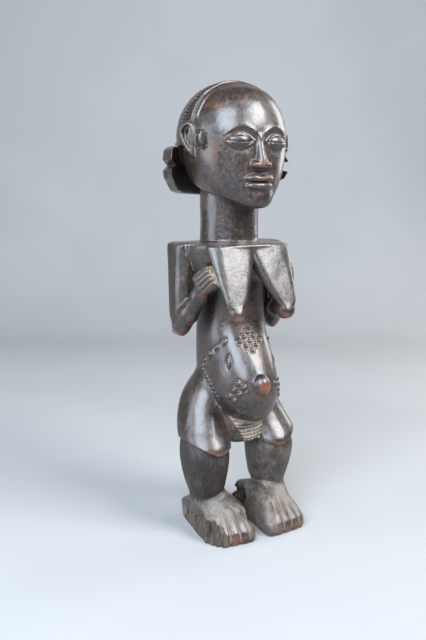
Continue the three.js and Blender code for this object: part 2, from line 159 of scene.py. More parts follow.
class Column:
    """Horizontal sections from the lowest up, each a rounded square, with smooth sides.

    A row holds z, x of the middle, half-width, front, back, power and fan. Power 2 is an
    ellipse, and fan widens the section towards the front. Flats cut the sides into planes.
    """

    def __init__(self, rows, edge=2.0, flats=None):
        rows = np.array(rows, float)
        if rows.shape[1] == 6:
            rows = np.column_stack([rows, np.zeros(len(rows))])
        z = rows[:, 0]
        middle = (rows[:, 3] + rows[:, 4]) / 2
        reach = (rows[:, 4] - rows[:, 3]) / 2
        self.low, self.high, self.edge, self.flats = z[0], z[-1], edge, flats
        self.fine = np.linspace(z[0], z[-1], max(2, int((z[-1] - z[0]) * 4)))
        keys = (rows[:, 1], rows[:, 2], middle, reach, rows[:, 5], rows[:, 6])
        self.curves = [smooth_curve(z, key, self.fine) for key in keys]
        self.slopes = [np.gradient(curve, self.fine) for curve in self.curves[:4]]
        wide = rows[:, 2] * (1 + np.abs(rows[:, 6]))
        self.box = (
            (rows[:, 1] - wide).min(), (rows[:, 1] + wide).max(),
            rows[:, 3].min(), rows[:, 4].max(), z[0], z[-1],
        )

    def __call__(self, x, y, z):
        at = np.clip(z, self.low, self.high)
        cx, side, middle, reach, power, fan = (
            np.interp(at, self.fine, curve).astype(np.float32) for curve in self.curves
        )
        inside = (z > self.low) & (z < self.high)
        dcx, dside, dmiddle, dreach = (
            np.interp(at, self.fine, slope).astype(np.float32) * inside
            for slope in self.slopes
        )
        v = (y - middle) / reach
        wide = side * (1 - fan * np.clip(v, -1, 1))
        u = (x - cx) / wide
        au, av = np.abs(u) + 1e-5, np.abs(v) + 1e-5
        pu, pv = au ** power, av ** power
        r = (pu + pv) ** (1 / power)
        scale = r / (pu + pv)
        gu, gv = scale * pu / au * np.sign(u), scale * pv / av * np.sign(v)
        gz = gu * (dcx + u / r * dside) / wide + gv * (dmiddle + v / r * dreach) / reach
        steep = np.sqrt((gu / wide) ** 2 + (gv / reach) ** 2 + gz ** 2)
        if self.flats:
            count, phase, amount = self.flats
            angle = np.arctan2(v, u) - math.radians(phase)
            part = 2 * math.pi / count
            angle = (angle + part / 2) % part - part / 2
            r = r * (1 - amount * (1 - np.cos(angle) / math.cos(part / 2) * FLAT_INSET))
        d = (r - 1) / np.maximum(steep, NEVER_FLAT)
        return common(d, np.maximum(self.low - z, z - self.high), self.edge)


def smooth_curve(x, y, fine):
    """A curve through the points that never swings past them."""
    step = np.diff(x)
    slope = np.diff(y) / step
    tangent = np.zeros(len(x))
    for i in range(1, len(x) - 1):
        a, b = slope[i - 1], slope[i]
        if a * b > 0:
            wa, wb = 2 * step[i] + step[i - 1], step[i] + 2 * step[i - 1]
            tangent[i] = (wa + wb) / (wa / a + wb / b)
    tangent[0], tangent[-1] = slope[0], slope[-1]
    i = np.clip(np.searchsorted(x, fine) - 1, 0, len(step) - 1)
    h = step[i]
    t = (fine - x[i]) / h
    return (
        (2 * t ** 3 - 3 * t ** 2 + 1) * y[i]
        + (t ** 3 - 2 * t ** 2 + t) * h * tangent[i]
        + (3 * t ** 2 - 2 * t ** 3) * y[i + 1]
        + (t ** 3 - t ** 2) * h * tangent[i + 1]
    )


class Ball:
    """An ellipsoid of three radii, turned and placed."""

    def __init__(self, at, size, turn=(0, 0, 0)):
        self.at, self.size, self.turn = np.array(at, float), np.array(size, float), rotation(turn)
        self.box = box_around(self.at, max(size))

    def local(self, x, y, z):
        """The points as seen from the form's own middle and turn."""
        p = np.stack([x - self.at[0], y - self.at[1], z - self.at[2]], 1)
        return p @ self.turn

    def __call__(self, x, y, z):
        p = self.local(x, y, z)
        k0 = np.linalg.norm(p / self.size, axis=1)
        k1 = np.linalg.norm(p / self.size ** 2, axis=1)
        return k0 * (k0 - 1) / np.maximum(k1, 1e-5)


class Block(Ball):
    """A box of three half-sizes with rounded edges, turned and placed."""

    def __init__(self, at, size, turn=(0, 0, 0), edge=1.0):
        super().__init__(at, size, turn)
        self.edge = edge
        self.box = box_around(self.at, float(np.linalg.norm(size)))

    def __call__(self, x, y, z):
        q = np.abs(self.local(x, y, z)) - (self.size - self.edge)
        outside = np.linalg.norm(np.maximum(q, 0), axis=1)
        return outside + np.minimum(q.max(1), 0) - self.edge


class Rod:
    """A round bar along points, each with its own radius."""

    def __init__(self, *stops, k=2.0):
        self.stops, self.k = [np.array(stop, float) for stop in stops], k
        places, radii = np.split(np.array(self.stops), [3], axis=1)
        r = radii.max()
        self.box = tuple(np.column_stack([places.min(0) - r, places.max(0) + r]).ravel())

    def __call__(self, x, y, z):
        p = np.stack([x, y, z], 1)
        d = None
        for a, b in zip(self.stops, self.stops[1:]):
            along = b[:3] - a[:3]
            t = np.clip((p - a[:3]) @ along / (along @ along), 0, 1)
            near = np.linalg.norm(p - a[:3] - t[:, None] * along, axis=1)
            one = near - (a[3] + t * (b[3] - a[3]))
            d = one if d is None else join(d, one, self.k)
        return d


class Wedge:
    """What lies behind every one of some planes: a point on each, the way it faces, a blend."""

    def __init__(self, faces, box):
        self.faces = [(np.array(at, float), unit(out), k) for at, out, k in faces]
        self.box = box

    def __call__(self, x, y, z):
        p = np.stack([x, y, z], 1)
        d = None
        for at, out, k in self.faces:
            one = (p - at) @ out
            d = one if d is None else common(d, one, k)
        return d


# Head, hair and chignon

HEAD = Column([
    (320, 0, 16, -54, -8, 2.4), (334, 0, 26, -57, 18, 2.4), (348, 0, 36, -58, 32, 2.4),
    (364, 0, 43.5, -58, 41, 2.4), (380, 0, 47, -58, 46, 2.4), (396, 0, 48, -58, 48, 2.4),
    (410, 0, 45.6, -55.6, 46.1, 2.3), (422, 0, 40.4, -51, 41.4, 2.2),
    (432, 0, 33.5, -44.3, 34.3, 2.1), (441, 0, 27, -37, 28, 2), (450, 0, 22, -32, 23, 2),
], edge=5)
CROWN = Ball((0, -5.5, 396), (49.5, 63, CROWN_Z - 396.4))
JAW_FRONT = (-58.0, 327.0)
JAW_BACK = (30.0, 353.0)

BAND_FRONT = -21.5
BAND_WIDE = 2.4
BAND_GAP = 1.5
BAND_LIFT = 1.5
BAND_LOWEST = 408.0
HAIR_FRONT = -14.0
HAIR_LIFT = 2.4
HAIR_LOWEST = 384.0
HAIR_TURNS = 15.0
LADDER_BACK = (8.0, -4.5)
LADDER_NOTCHES = 43
LADDER_DEPTH = 1.7
LADDER_LOWEST = 10.0
ARCH_CENTRE = 396.0


@within(*HEAD.box)
def head(x, y, z):
    """The egg of the head, closed by a round crown."""
    return common(HEAD(x, y, z), CROWN(x, y, np.maximum(z, CROWN.at[2])), 2)


@within(-60, 60, -75, 60, 300, 372)
def under_jaw(x, y, z):
    """What lies below a plane that climbs from the chin to the nape."""
    (y0, z0), (y1, z1) = JAW_FRONT, JAW_BACK
    slope = math.atan2(z1 - z0, y1 - y0)
    return (z - z0) * math.cos(slope) - (y - y0) * math.sin(slope)


@within(-56, 0.1, -16, 56, 366, 447)
def hair(x, y, z):
    """The hair stands proud of the head, and its front edge is notched like a ladder."""
    d = head(x, y, z) - HAIR_LIFT
    angle = np.degrees(np.arctan2(z - ARCH_CENTRE, np.abs(x)))
    turn = (angle - LADDER_LOWEST) / (180 - 2 * LADDER_LOWEST) * LADDER_NOTCHES
    slot = smooth(-0.25, 0.35, np.cos(2 * math.pi * turn)) * (angle > LADDER_LOWEST)
    low, high = LADDER_BACK
    back = low + (high - low) * smooth(395, 438, z)
    inside = smooth(HAIR_FRONT + 1.2, HAIR_FRONT + 1.9, y) * smooth(back, back - 0.8, y)
    d = d + LADDER_DEPTH * slot * inside
    d = common(d, HAIR_FRONT - y, 1.2)
    return common(d, HAIR_LOWEST - 0.5 * np.maximum(y - HAIR_TURNS, 0) - z, 2.5)


@within(-60, 0.1, -26, -12, 404, 450)
def headband(x, y, z):
    """The rise of the two fine ridges in front of the ladder."""
    first = BAND_FRONT + BAND_WIDE / 2
    second = first + BAND_WIDE + BAND_GAP
    rise = bump(y - first, BAND_WIDE) + 0.8 * bump(y - second, BAND_WIDE)
    return BAND_LIFT * rise * smooth(BAND_LOWEST - 1, BAND_LOWEST + 2, z)


EAR_AT = np.array((-50.5, -11.5, 389.0))
EAR_BACK = np.array((-0.55, 0.835, 0.0))
EAR_OUT = np.array((-0.835, -0.55, 0.0))
EAR_OUTLINE = np.array([
    (-7.5, -15), (-4.5, -14.5), (1, -8.5), (5.5, -2), (8, 5), (7.6, 10.5), (4, 15), (-1, 16.5),
    (-5.5, 15), (-7.8, 11), (-8.2, 0),
], float)


EAR_HALF = 6.2
EAR_RIM = 3.3
EAR_FLOOR = -1.6
EAR_RIDGE = (1.4, 8.0)


@within(-63, -38, -24, 2, 370, 407)
def ear(x, y, z):
    """A drop-shaped shell that opens forwards, with a ridge in its hollow."""
    p = np.stack([x, y, z], 1) - EAR_AT
    back, out, up = p @ EAR_BACK, p @ EAR_OUT, p[:, 2]
    rim = polygon(EAR_OUTLINE, back, up)
    shell = common(rim, np.abs(out + 3.5) - EAR_HALF - 0.06 * back, 2.4)
    floor = EAR_FLOOR - 0.12 * back
    bowl = common(rim + EAR_RIM, floor - out, 1.8)
    thick, half_long = EAR_RIDGE
    ridge_line = np.abs(back - 1.2 + 0.09 * (up + 2) ** 2 * np.sign(up + 2) * 0.35)
    ridge = np.hypot(ridge_line, out + 1.2) - thick
    ridge = common(ridge, np.abs(up + 1.5) - half_long, 1.5)
    return join(common(shell, -bowl, 1.0), ridge, 1.0)


LEFT_EAR_SHIFT = 2.2
TRAGUS = Block((-45.2, -29.5, 389.5), (2.6, 5, 6.5), (0, 0, -14), 1.5)
TRAGUS_BARS = [
    Rod((-48.3, -32, 386.5, 1.5), (-48.6, -31.6, 392, 1.7)),
    Rod((-49.2, -27.4, 387.5, 1.5), (-49.4, -27.2, 392.5, 1.7)),
]
TRAGUS_HOLE = Ball((-48.2, -29.6, 383.6), (3, 2.6, 1.5))
TRAGUS_ARC = Rod((-47, -34, 381.6, 0.8), (-48, -29.5, 380.2, 1.0), (-49, -25, 382, 0.8))

CHIGNON_Z = 367.0
CHIGNON_Y = 53.0
CHIGNON_THICK = 15.0
CHIGNON_FORWARD = (48.0, 56.0)
SIDE_ARM_HALF = 15.0
SIDE_ARM_ROOT = 18.0
SIDE_ARM_NOTCH = 11.0
FAN_WIDE = 49.0


def chignon_outline():
    """The right half of the cross seen from behind, from the top down."""
    return np.array([
        (0, 30), (30, 28), (37, 22), (24, SIDE_ARM_ROOT - 3),
        (CHIGNON_REACH - 12, SIDE_ARM_HALF + 3), (CHIGNON_REACH - 3, SIDE_ARM_HALF - 1),
        (CHIGNON_REACH, 5), (CHIGNON_REACH - SIDE_ARM_NOTCH, 0), (CHIGNON_REACH, -5),
        (CHIGNON_REACH - 2, -SIDE_ARM_HALF + 3), (CHIGNON_REACH - 8, -SIDE_ARM_HALF - 1),
        (FAN_WIDE + 2, -20), (FAN_WIDE - 3, -24), (FAN_WIDE - 14, -26.5),
        (0, -28), (-6, -28), (-6, 30),
    ], float)


def polygon(points, u, v):
    """Signed distance to a closed outline in a plane."""
    d = np.full(len(u), 1e9)
    sign = np.ones(len(u))
    for a, b in zip(points, np.roll(points, -1, axis=0)):
        e = b - a
        wu, wv = u - a[0], v - a[1]
        t = np.clip((wu * e[0] + wv * e[1]) / (e @ e), 0, 1)
        d = np.minimum(d, (wu - t * e[0]) ** 2 + (wv - t * e[1]) ** 2)
        above, below = v >= a[1], v < b[1]
        left = e[0] * wv > e[1] * wu
        flip = (above & below & left) | (~above & ~below & ~left)
        sign[flip] *= -1
    return sign * np.sqrt(d)


@within(-CHIGNON_REACH - 2, CHIGNON_REACH + 2, -12, 61, 338, 398)
def chignon(x, y, z):
    """A cross in one thick plate that curves forwards at its sides."""
    side = np.abs(x)
    t = np.clip(side / (CHIGNON_REACH + 2), 0, 1.1)
    forward = np.where(x < 0, *CHIGNON_FORWARD)
    bow = CHIGNON_Y - forward * t ** 2
    lean = 1 / np.sqrt(1 + (2 * forward * t / (CHIGNON_REACH + 2)) ** 2)
    half = CHIGNON_THICK / 2 * (1.03 - 0.25 * t ** 2)
    off = (y - bow) * lean
    outline = polygon(chignon_outline(), side, z - CHIGNON_Z)
    border = bump(outline + 3.2, 0.9) * (off > 0)
    ribs = 0.25 * np.cos(side * 1.9) * smooth(-4, -5, outline) * (off > 0)
    plate = np.abs(off) - half + 0.9 * border + ribs
    return common(plate, outline * 0.97, 1.4)


# Face, on the carver's usual thirds: eyes half way up the head, then nose and mouth.

EYE_X = 19.5
EYE_Z = 387.0
EYE_TURN = 14.0
SOCKET = Ball((-EYE_X, -60, EYE_Z + 1), (15.5, 8.2, 12.5), (4, 0, -EYE_TURN))
EYEBALL = Ball((-EYE_X, -51.6, EYE_Z - 0.5), (11.8, 6, 7), (4, 0, -EYE_TURN))
NOSE = Rod(
    (0, -51.6, 402, 2.6), (0, -56.4, 389, 3.0), (0, -60.6, 370, 4.4), (0, -61.6, 365.5, 4.8),
)
NOSE_WING = Ball((-5.8, -59.6, 365.4), (4.4, 5.6, 4))
NOSTRIL = Ball((-4.6, -62.4, 361.4), (2, 2.6, 1.5))
MOUTH_Z = 350.5
LIP_UPPER = Ball((0, -56.6, MOUTH_Z + 3.2), (15, 6.9, 4.4))
LIP_LOWER = Ball((0, -56.2, MOUTH_Z - 3.6), (14, 6.9, 4.6))
CHIN = Ball((0, -49.6, 336), (13, 8, 8))


EYE_Y = -56.0
LID_HIGH = 7.2
LID_HALF = 13.4
CREASE_SHARE = 0.62
CREASE_DEEP = 0.25
SLIT_DOWN = 1.6
SLIT_DEEP = 0.7
BROW_HIGH = 12.6
BROW_BEND = 0.032
BROW_OUT = 2.0
BROW_RISE = 0.9
NOSE_FLOOR = (-68.0, 361.6)
NOSE_FLOOR_CLIMB = 0.12
LIP_BOW = (1.6, 2.6)
SEAM_BEND = 0.004
SEAM_DEEP = 1.1
GROOVE_FROM = 355.5
GROOVE_TO = 362.0
GROOVE_DEEP = 0.7


def lids(across, up, y):
    """The rise of both lids' rims, less the upper one's crease and the slit between them."""
    front = smooth(-44, -48, y) * smooth(16, 13, np.abs(across))
    lid = LID_HIGH * (1 - (across / LID_HALF) ** 2)
    rim = bump(np.abs(up + 0.4) - lid, 1.7)
    crease = bump(up - CREASE_SHARE * lid, 0.8) * (np.abs(across) < 10)
    slit = bump(up + SLIT_DOWN - 0.12 * across ** 2 / 10, 0.9) * smooth(11, 9, np.abs(across))
    return front * (rim - SLIT_DEEP * slit - CREASE_DEEP * crease)


def brow(across, up, y):
    """The rise of the brow, an arch over the eye."""
    arch = bump(up - (BROW_HIGH - BROW_BEND * (across - BROW_OUT) ** 2), 2.6)
    ends = smooth(17, 12, np.abs(across - BROW_OUT))
    return BROW_RISE * (arch * ends * smooth(-40, -46, y))


def nose(x, y, z):
    """The bridge, tip and wing, with a floor below and a nostril in it."""
    d = join(NOSE(x, y, z), NOSE_WING(x, y, z), 2.2)
    floor_y, floor_z = NOSE_FLOOR
    d = common(d, floor_z + NOSE_FLOOR_CLIMB * (y - floor_y) - z, 1.6)
    return common(d, -NOSTRIL(x, y, z), 1.0)


def lips(x, y, z):
    """Two full lips, with a bow in the upper one and a seam between them."""
    deep, wide = LIP_BOW
    bow = deep * np.exp(-((x / wide) ** 2))
    d = join(LIP_UPPER(x, y, z + bow * (z > MOUTH_Z + 4)), LIP_LOWER(x, y, z), 0.8)
    seam = bump(z - (MOUTH_Z - 0.1 + SEAM_BEND * x ** 2), 1.1) * smooth(16, 13.5, np.abs(x))
    return d + SEAM_DEEP * seam


@within(-40, 0.1, -75, -38, 326, 412)
def face(d, x, y, z):
    """Socket, eye, nose, chin and lips, joined to and cut from the head."""
    turn = math.radians(EYE_TURN)
    across = (x + EYE_X) * math.cos(turn) - (y - EYE_Y) * math.sin(turn)
    d = common(d, -SOCKET(x, y, z), 2.6)
    d = join(d, EYEBALL(x, y, z), 1.2)
    d = d - lids(across, z - EYE_Z, y)
    d = d - brow(across, z - EYE_Z, y)
    d = join(d, nose(x, y, z), 2.2)
    d = join(d, CHIN(x, y, z), 9)
    d = join(d, lips(x, y, z), 1.0)
    groove = bump(x, 2.6) * smooth(GROOVE_FROM, GROOVE_FROM + 1.5, z)
    groove = groove * smooth(GROOVE_TO, GROOVE_TO - 1.5, z) * smooth(-40, -50, y)
    return d + GROOVE_DEEP * groove


# Neck, trunk and breasts

NECK = Column([
    (286, 0, 29.5, -29, 28.5, 2.1), (296, 0, 29, -28.5, 28, 2.1), (318, 0, 28.5, -28, 27, 2.1),
    (362, 0, 29, -30, 28, 2.1),
], edge=1)
TRUNK = Column([
    (118, 0, 33, -22, 30, 2.4), (140, 0, 33, -26, 30, 2.5), (160, 0, 33, -30, 29, 2.7),
    (200, 0, 32.6, -36, 29.5, 2.7), (230, 0, 31, -36, 27.5, 2.7), (258, 0, 33, -36, 25, 2.8),
    (272, 0, 39, -38, 25, 2.9), (290, 0, 44, -38, 25, 3),
], edge=2)
YOKE = Column([
    (246, 0, 29, -28, 16, 2.5, 0), (260, 0, 40, -37, 21, 2.8, -0.06),
    (270, 0, 46, -42, 24, 3, -0.08), (283, 0, 50, -44, 25, 3.4, -0.1),
    (SHOULDER_Z - 0.8, 0, 51, -45.5, 27, 3.6, -0.1),
    (SHOULDER_Z + 0.6, 0, 50, -44.7, 26.5, 3.6, -0.1), (SHOULDER_Z + 2.6, 0, 32, -31, 25, 2.4, 0),
], edge=0.8)
COLLAR_IN = 3.4
COLLAR_DEEP = 0.7
BELLY = Column([
    (118, 0, 6, -44, -10, 2), (122, 0, 15, -54, 0, 2), (129, 0, 23, -61, 8, 2),
    (139, 0, 29, -65, 12, 2.1), (151, 0, 32, -66.5, 15, 2.1), (164, 0, 32, -64.5, 16, 2.1),
    (178, 0, 31, -58.5, 16, 2.2), (193, 0, 29.5, -49.5, 16, 2.3), (207, 0, 27, -41, 16, 2.4),
    (220, 0, 23, -33, 16, 2.4), (232, 0, 15, -24, 12, 2.4), (241, 0, 8, -14, 6, 2.4),
], edge=3)
NAVEL = Ball((-1.5, -63.8, 161), (8.8, 8.6, 10))
SPINE = Rod((0, 34.5, 150, 3.2), (0, 31.6, 200, 3.4), (0, 29.8, 262, 3.2))
BREAST_PLANES = Wedge([
    ((-20, -47.5, 290), (-0.14, -1, 0.352), 1.5),
    ((-20, -47.5, 290), (0.12, -1, 0.352), 7),
    ((-2.5, -46.4, 290), (0.6, -0.75, 0.124), 3.5),
    ((-34.7, -45.5, 292.4), (-0.489, -0.826, 0.291), 2.2),
    ((-46.6, -40.5, 292.3), (-1, 0.213, -0.238), 4),
    ((1.2, -46.6, 289.3), (1, -0.13, -0.114), 3.5),
    ((-4.3, -56.7, 260.5), (1, -0.075, -0.476), 7),
    ((-27, -64, 222.1), (0, 0.8825, -0.4702), 8),
    ((0, 0, SHOULDER_Z - 0.2), (0, 0, 1), 1),
], (-50, 5, -72, 20, 218, SHOULDER_Z + 1))
BREAST_ROUND = Rod((-26, -54.6, 231.8, 13), (-24, -35, 285, 52))
BREAST_TIP = Ball((-26, -58, 229.2), (7.6, 7.6, 7.6))
RIGHT_BREAST_SHIFT = 1.4
LEFT_BREAST_SHIFT = 3.0


def breast(x, y, z):
    """Flat planes that come together in a rounded, hanging tip."""
    planes = common(BREAST_PLANES(x, y, z), BREAST_ROUND(x, y, z), 3)
    return join(planes, BREAST_TIP(x, y, z), 4)


@within(*BREAST_PLANES.box)
def right_breast(x, y, z):
    """The right breast, a little nearer the middle than its planes are drawn."""
    return breast(x - RIGHT_BREAST_SHIFT, y, z)


@within(-5, 53, *BREAST_PLANES.box[2:])
def left_breast(x, y, z):
    """The mirrored left breast, whose tip hangs further out."""
    return breast(LEFT_BREAST_SHIFT * smooth(286, 238, z) - x, y, z)


# Arms and hands

UPPER_ARM = Column([
    (202.5, -52.5, 3, -2, 9, 2.2), (209, -51.4, 7, -8, 14, 2.3), (222, -49.7, 11, -11, 20, 2.5),
    (248, -48, 13, -12, 22, 2.7), (272, -46.3, 14, -12, 24, 2.9),
    (SHOULDER_Z - 0.6, -45, 15, -13.5, 25, 3.2), (SHOULDER_Z + 1.6, -44, 13, -10, 23, 3),
], edge=0.8, flats=(7, 24, 0.3))
FOREARM = Rod(
    (-54, 11, 206.2, 4), (-53, 2, 213, 8.2), (-50.6, -12, 226, 9.3), (-47, -25, 243, 8.3),
    (-46, -32, 253, 7.6), k=3,
)
SHOULDER_GROOVE = Rod((-51.2, -15.2, 262, 1.2), (-53.8, -14.6, 276, 2.2), (-55.5, -13, 297, 4))
HAND_AT = np.array((-47.5, -38.5, 260.5))
HAND_ALONG = unit((0.42, -0.74, 0.52))
HAND_OUT = np.array((-0.85, -0.5, 0.0))
HAND_OUT = unit(HAND_OUT - HAND_ALONG * (HAND_OUT @ HAND_ALONG))
HAND_UP = np.cross(HAND_ALONG, HAND_OUT)
HAND_UP = HAND_UP * np.sign(HAND_UP[2])
HAND_HALF = (12.5, 5.2, 12.0)
HAND_EDGE = 3.4
HAND_PITCH = 4.4
HAND_GROOVES = 4
HAND_GROOVE_DEEP = 1.4
HAND_SKEW = 0.18


@within(-66, -28, -60, -16, 240, 282)
def hand(x, y, z):
    """A rounded plate, with grooves that part the fingers."""
    p = np.stack([x, y, z], 1) - HAND_AT
    along, out, up = p @ HAND_ALONG, p @ HAND_OUT, p @ HAND_UP
    curl = out + 0.02 * along ** 2 + 0.012 * up ** 2
    half_long, half_thick, half_wide = HAND_HALF
    q = np.stack([
        np.abs(along + 0.5) - (half_long - 0.1 * np.abs(up)), np.abs(curl + 1) - half_thick,
        np.abs(up + 0.4) - (half_wide - 0.16 * np.maximum(-along, 0)),
    ], 1) + HAND_EDGE
    d = np.linalg.norm(np.maximum(q, 0), axis=1) + np.minimum(q.max(1), 0) - HAND_EDGE
    row = (up - HAND_SKEW * along) / HAND_PITCH
    last = (HAND_GROOVES - 1) / 2
    near = np.abs(row - np.clip(np.round(row - 0.5) + 0.5, -last, last))
    groove = bump(near * HAND_PITCH, 1.3) * smooth(-6.5, -4, along) * smooth(11, 9.5, along)
    tips = 0.6 * bump(along - 10.6, 0.8) * smooth(11.5, 10.5, np.abs(up))
    return d + (HAND_GROOVE_DEEP * groove + tips) * (curl > 0)


# Legs and feet

CALF_SHIFT = 3.2
FOOT_SHIFT = 0.5
THIGH = Column([
    (KNEE_Z - 3, -38.9, 22.2, -43.2, 8, 2.3), (KNEE_Z + 2, -38.7, 22.9, -43.8, 10, 2.3),
    (KNEE_Z + 12, -37.6, 24.6, -38.5, 19, 2.4), (113, -34.7, 24.3, -30.5, 26, 2.4),
    (126, -31, 24, -24, 30, 2.3), (138, -27, 23, -20, 31, 2.3), (150, -21, 21, -18, 30, 2.3),
    (162, -15, 17, -14, 27, 2.3),
], edge=1.0, flats=(7, 35, 0.2))
LEDGE_X = -38.0
CALF = Column([
    (ANKLE_Z - 14, -37.4, 16, -28, 7, 2.3), (ANKLE_Z + 4, -37.4, 16.2, -29.5, 7, 2.3),
    (52, -38.4, 18.8, -33, 9, 2.5), (68, -39.2, 21.4, -37.4, 11, 2.6),
    (KNEE_Z - 6, -39.5, 22.8, -40.6, 12, 2.6), (97, -39.0, 21.4, -37.5, 13, 2.5),
    (107, -38, 19, -30, 13, 2.4),
], edge=1.5, flats=(9, 12, 0.25))
FOOT = Column([
    (0, -31, 21.2, -59.2, 31.5, 6.5, 0.2), (5, -31, 21.5, -61.3, 33, 6.5, 0.2),
    (12, -31, 22, -59.8, 33, 6, 0.18), (18, -31.5, 21.9, -55.2, 32, 5, 0.13),
    (24, -32.3, 20.4, -50, 23, 3.8, 0.07), (30, -33.8, 17.9, -44.2, 10, 3, 0.03),
    (35.5, -36.2, 16.2, -37.8, 1, 2.6, 0), (39.5, -37.4, 15.2, -33.2, -4, 2.4, 0),
    (42.5, -37.8, 14, -30, -8, 2.3, 0),
], edge=1.0)
TOE_X = -31.0
TOE_Y = -52.0
TOE_PITCH = 9.4
TOE_FAN = 0.55
TOE_GROOVES = 4
TOE_START = -40.5
TOE_DEEP = 2.0
TOE_CUT = 1.9
TOE_SKEW = 0.12
INSTEP_TILT = 0.34
INSTEP_X = -38.0
INSTEP_Z = 38.0
BROKEN_BELOW = 42.0
SPLIT_FACES = (
    (np.array((-51.2, -15.0, 19.0)), unit((-1, 0.07, 0.08))),
    (np.array((-49.5, -43.0, 20.0)), unit((-0.85, -0.5, 0.15))),
)
SPLIT_TOP = 18.5
SPLIT_INNER_X = -34.0
HOLES = [
    Ball((10.5, 16, 20), (6, 13, 11)), Ball((10, 0, 20), (3.6, 10, 12)),
    Ball((17, 29, 14), (9, 6, 9)),
]
FORK = Column([
    (91, 0, 15, -24, 8, 2.4), (97, 0, 19, -33, 14, 2.4), (108, 0, 22, -36, 20, 2.5),
    (130, 0, 25, -35, 24, 2.6),
], edge=4)


def toe_grooves(x, y, z):
    """How deep the nearest groove between two toes is cut."""
    depth = np.zeros(len(x), np.float32)
    for i in range(TOE_GROOVES):
        across = (i - (TOE_GROOVES - 1) / 2) * TOE_PITCH
        turn = math.radians(-across * TOE_FAN)
        off = (x - TOE_X - across) * math.cos(turn) - (y - TOE_Y) * math.sin(turn)
        start = TOE_START - 2 * abs(i - 1.5)
        depth = np.maximum(depth, bump(off, TOE_CUT) * smooth(start, start - 5, y))
    return depth


def leg_side(x, z):
    """The right leg's X for a point on either leg: the left one stands nearer the middle."""
    near = FOOT_SHIFT + (CALF_SHIFT - FOOT_SHIFT) * smooth(34, 50, z)
    return -np.abs(x) - near * (x > 0) * smooth(104, 90, z)


def ledge(x):
    """The height of the thigh's lower edge."""
    outer, inner = np.maximum(LEDGE_X - x, 0), np.maximum(x - LEDGE_X - 4, 0)
    return KNEE_Z - 2 + 0.52 * outer + 0.3 * inner


@within(*THIGH.box)
def thigh(x, y, z):
    """The thigh ends over the calf in a ledge that is lowest in front."""
    return common(THIGH(x, y, z), ledge(x) - z, 0.6)


@within(*CALF.box)
def calf(x, y, z):
    """The shin's front is cut flat, with fine upright tool marks."""
    marks = np.sin(x * 1.7 + 2 * np.sin(z * 0.07)) * smooth(0, -20, y)
    return CALF(x, y, z) + 0.12 * marks


def split(x, y, z):
    """The outer side of the right foot, which broke away: below zero where wood is gone."""
    p = np.stack([x, y, z], 1)
    gone = None
    for at, out in SPLIT_FACES:
        one = -((p - at) @ out)
        gone = one if gone is None else np.minimum(gone, one)
    top = SPLIT_TOP - 0.12 * (y + 10) + 0.9 * np.sin(y * 0.5) - 0.9 * np.maximum(y - 2, 0)
    return np.maximum(np.maximum(gone, z - top), x - SPLIT_INNER_X)


@within(*FOOT.box)
def foot(x, y, z):
    """A wedge with a broad front, parted into toes, and higher on its inner side."""
    tilt = INSTEP_TILT * (x - INSTEP_X) * smooth(18, 34, z)
    forward = TOE_SKEW * (x - TOE_X) * smooth(0, -30, y)
    return FOOT(x, y + forward, z - tilt) + TOE_DEEP * toe_grooves(x, y, z)


APRON_X = 3.0
APRON_TOP = 121.6
APRON_LOWEST = 97.6
APRON_WIDE = 22.0
APRON_NARROWS = 0.46
APRON_SLANTS = 0.1
APRON_PITCH = 3.9
TOOTH_WIDE = 4.4
TOOTH_LONG = 5.0


@within(-26, 26, -45, -18, 90, 126)
def apron(x, y, z):
    """The rise of the ridged cloth over the block between the thighs."""
    fall = APRON_TOP - z
    across = x - APRON_X - APRON_SLANTS * fall
    half = APRON_WIDE - APRON_NARROWS * fall
    tooth = np.abs(((across / TOOTH_WIDE) % 1.0) - 0.5) * 2
    hem = APRON_LOWEST - TOOTH_LONG * tooth
    cloth = smooth(0, 0.9, half - np.abs(across)) * smooth(0, 0.7, z - hem)
    wave = np.abs(np.sin(math.pi * fall / APRON_PITCH))
    lines = smooth(0.05, 0.55, wave)
    cloth = cloth * smooth(-2, 0, fall) * smooth(-20, -26, y)
    return cloth * (0.5 + 1.1 * lines)


# Scars: raised studs, each in a shallow bed, where a level ray leaves the body

DIAMOND_TURN = 3.0
DIAMOND_Z = 200.5
DIAMOND_ACROSS = 6.7
DIAMOND_DOWN = 4.0
DIAMOND_STUD = (2.3, 2.4)
CHEVRON = ((35.4, 199.5), (86, 170), (45, 144))
CHEVRON_ABOVE = 5
CHEVRON_BELOW = 8
CHEVRON_TILT = (-22, -48)
CHEVRON_STUDS = ((3.4, 2.2), (2.4, 2.0))
CLUSTER_TURN = 22.0
CLUSTER_Z = 162.7
CLUSTER_STUD = (3.2, 3.0)
CLUSTER_ROW = (5.0, 3.4)
CLUSTER_COLUMN = (4.2, 7.0)
LOZENGE_TURN = 30.5
LOZENGE_Z = 181.2
LOZENGE = (3.1, 8.2)
LOZENGE_RISE = 0.5
LOZENGE_TILT = 4.0
CHIPS = (
    (20.5, 136, (5.5, 5, 4.5)), (22.5, 129.5, (4, 5, 3)), (-14, 160, (3, 5, 5)),
    (46, 133, (3, 4, 2.5)),
)
CHIP_DEEP = 0.7
CHANNEL_HALF = 2.4
BED_DEEP = 0.6


SCARS_FROM = 120
SCARS_TO = 216
SCARS_BACK = 16
SCARS_SIDE = 46


def on_belly(x, y, z):
    """Which points lie where the scars can be."""
    level = (z > SCARS_FROM) & (z < SCARS_TO)
    return np.flatnonzero(level & (y < SCARS_BACK) & (np.abs(x) < SCARS_SIDE))


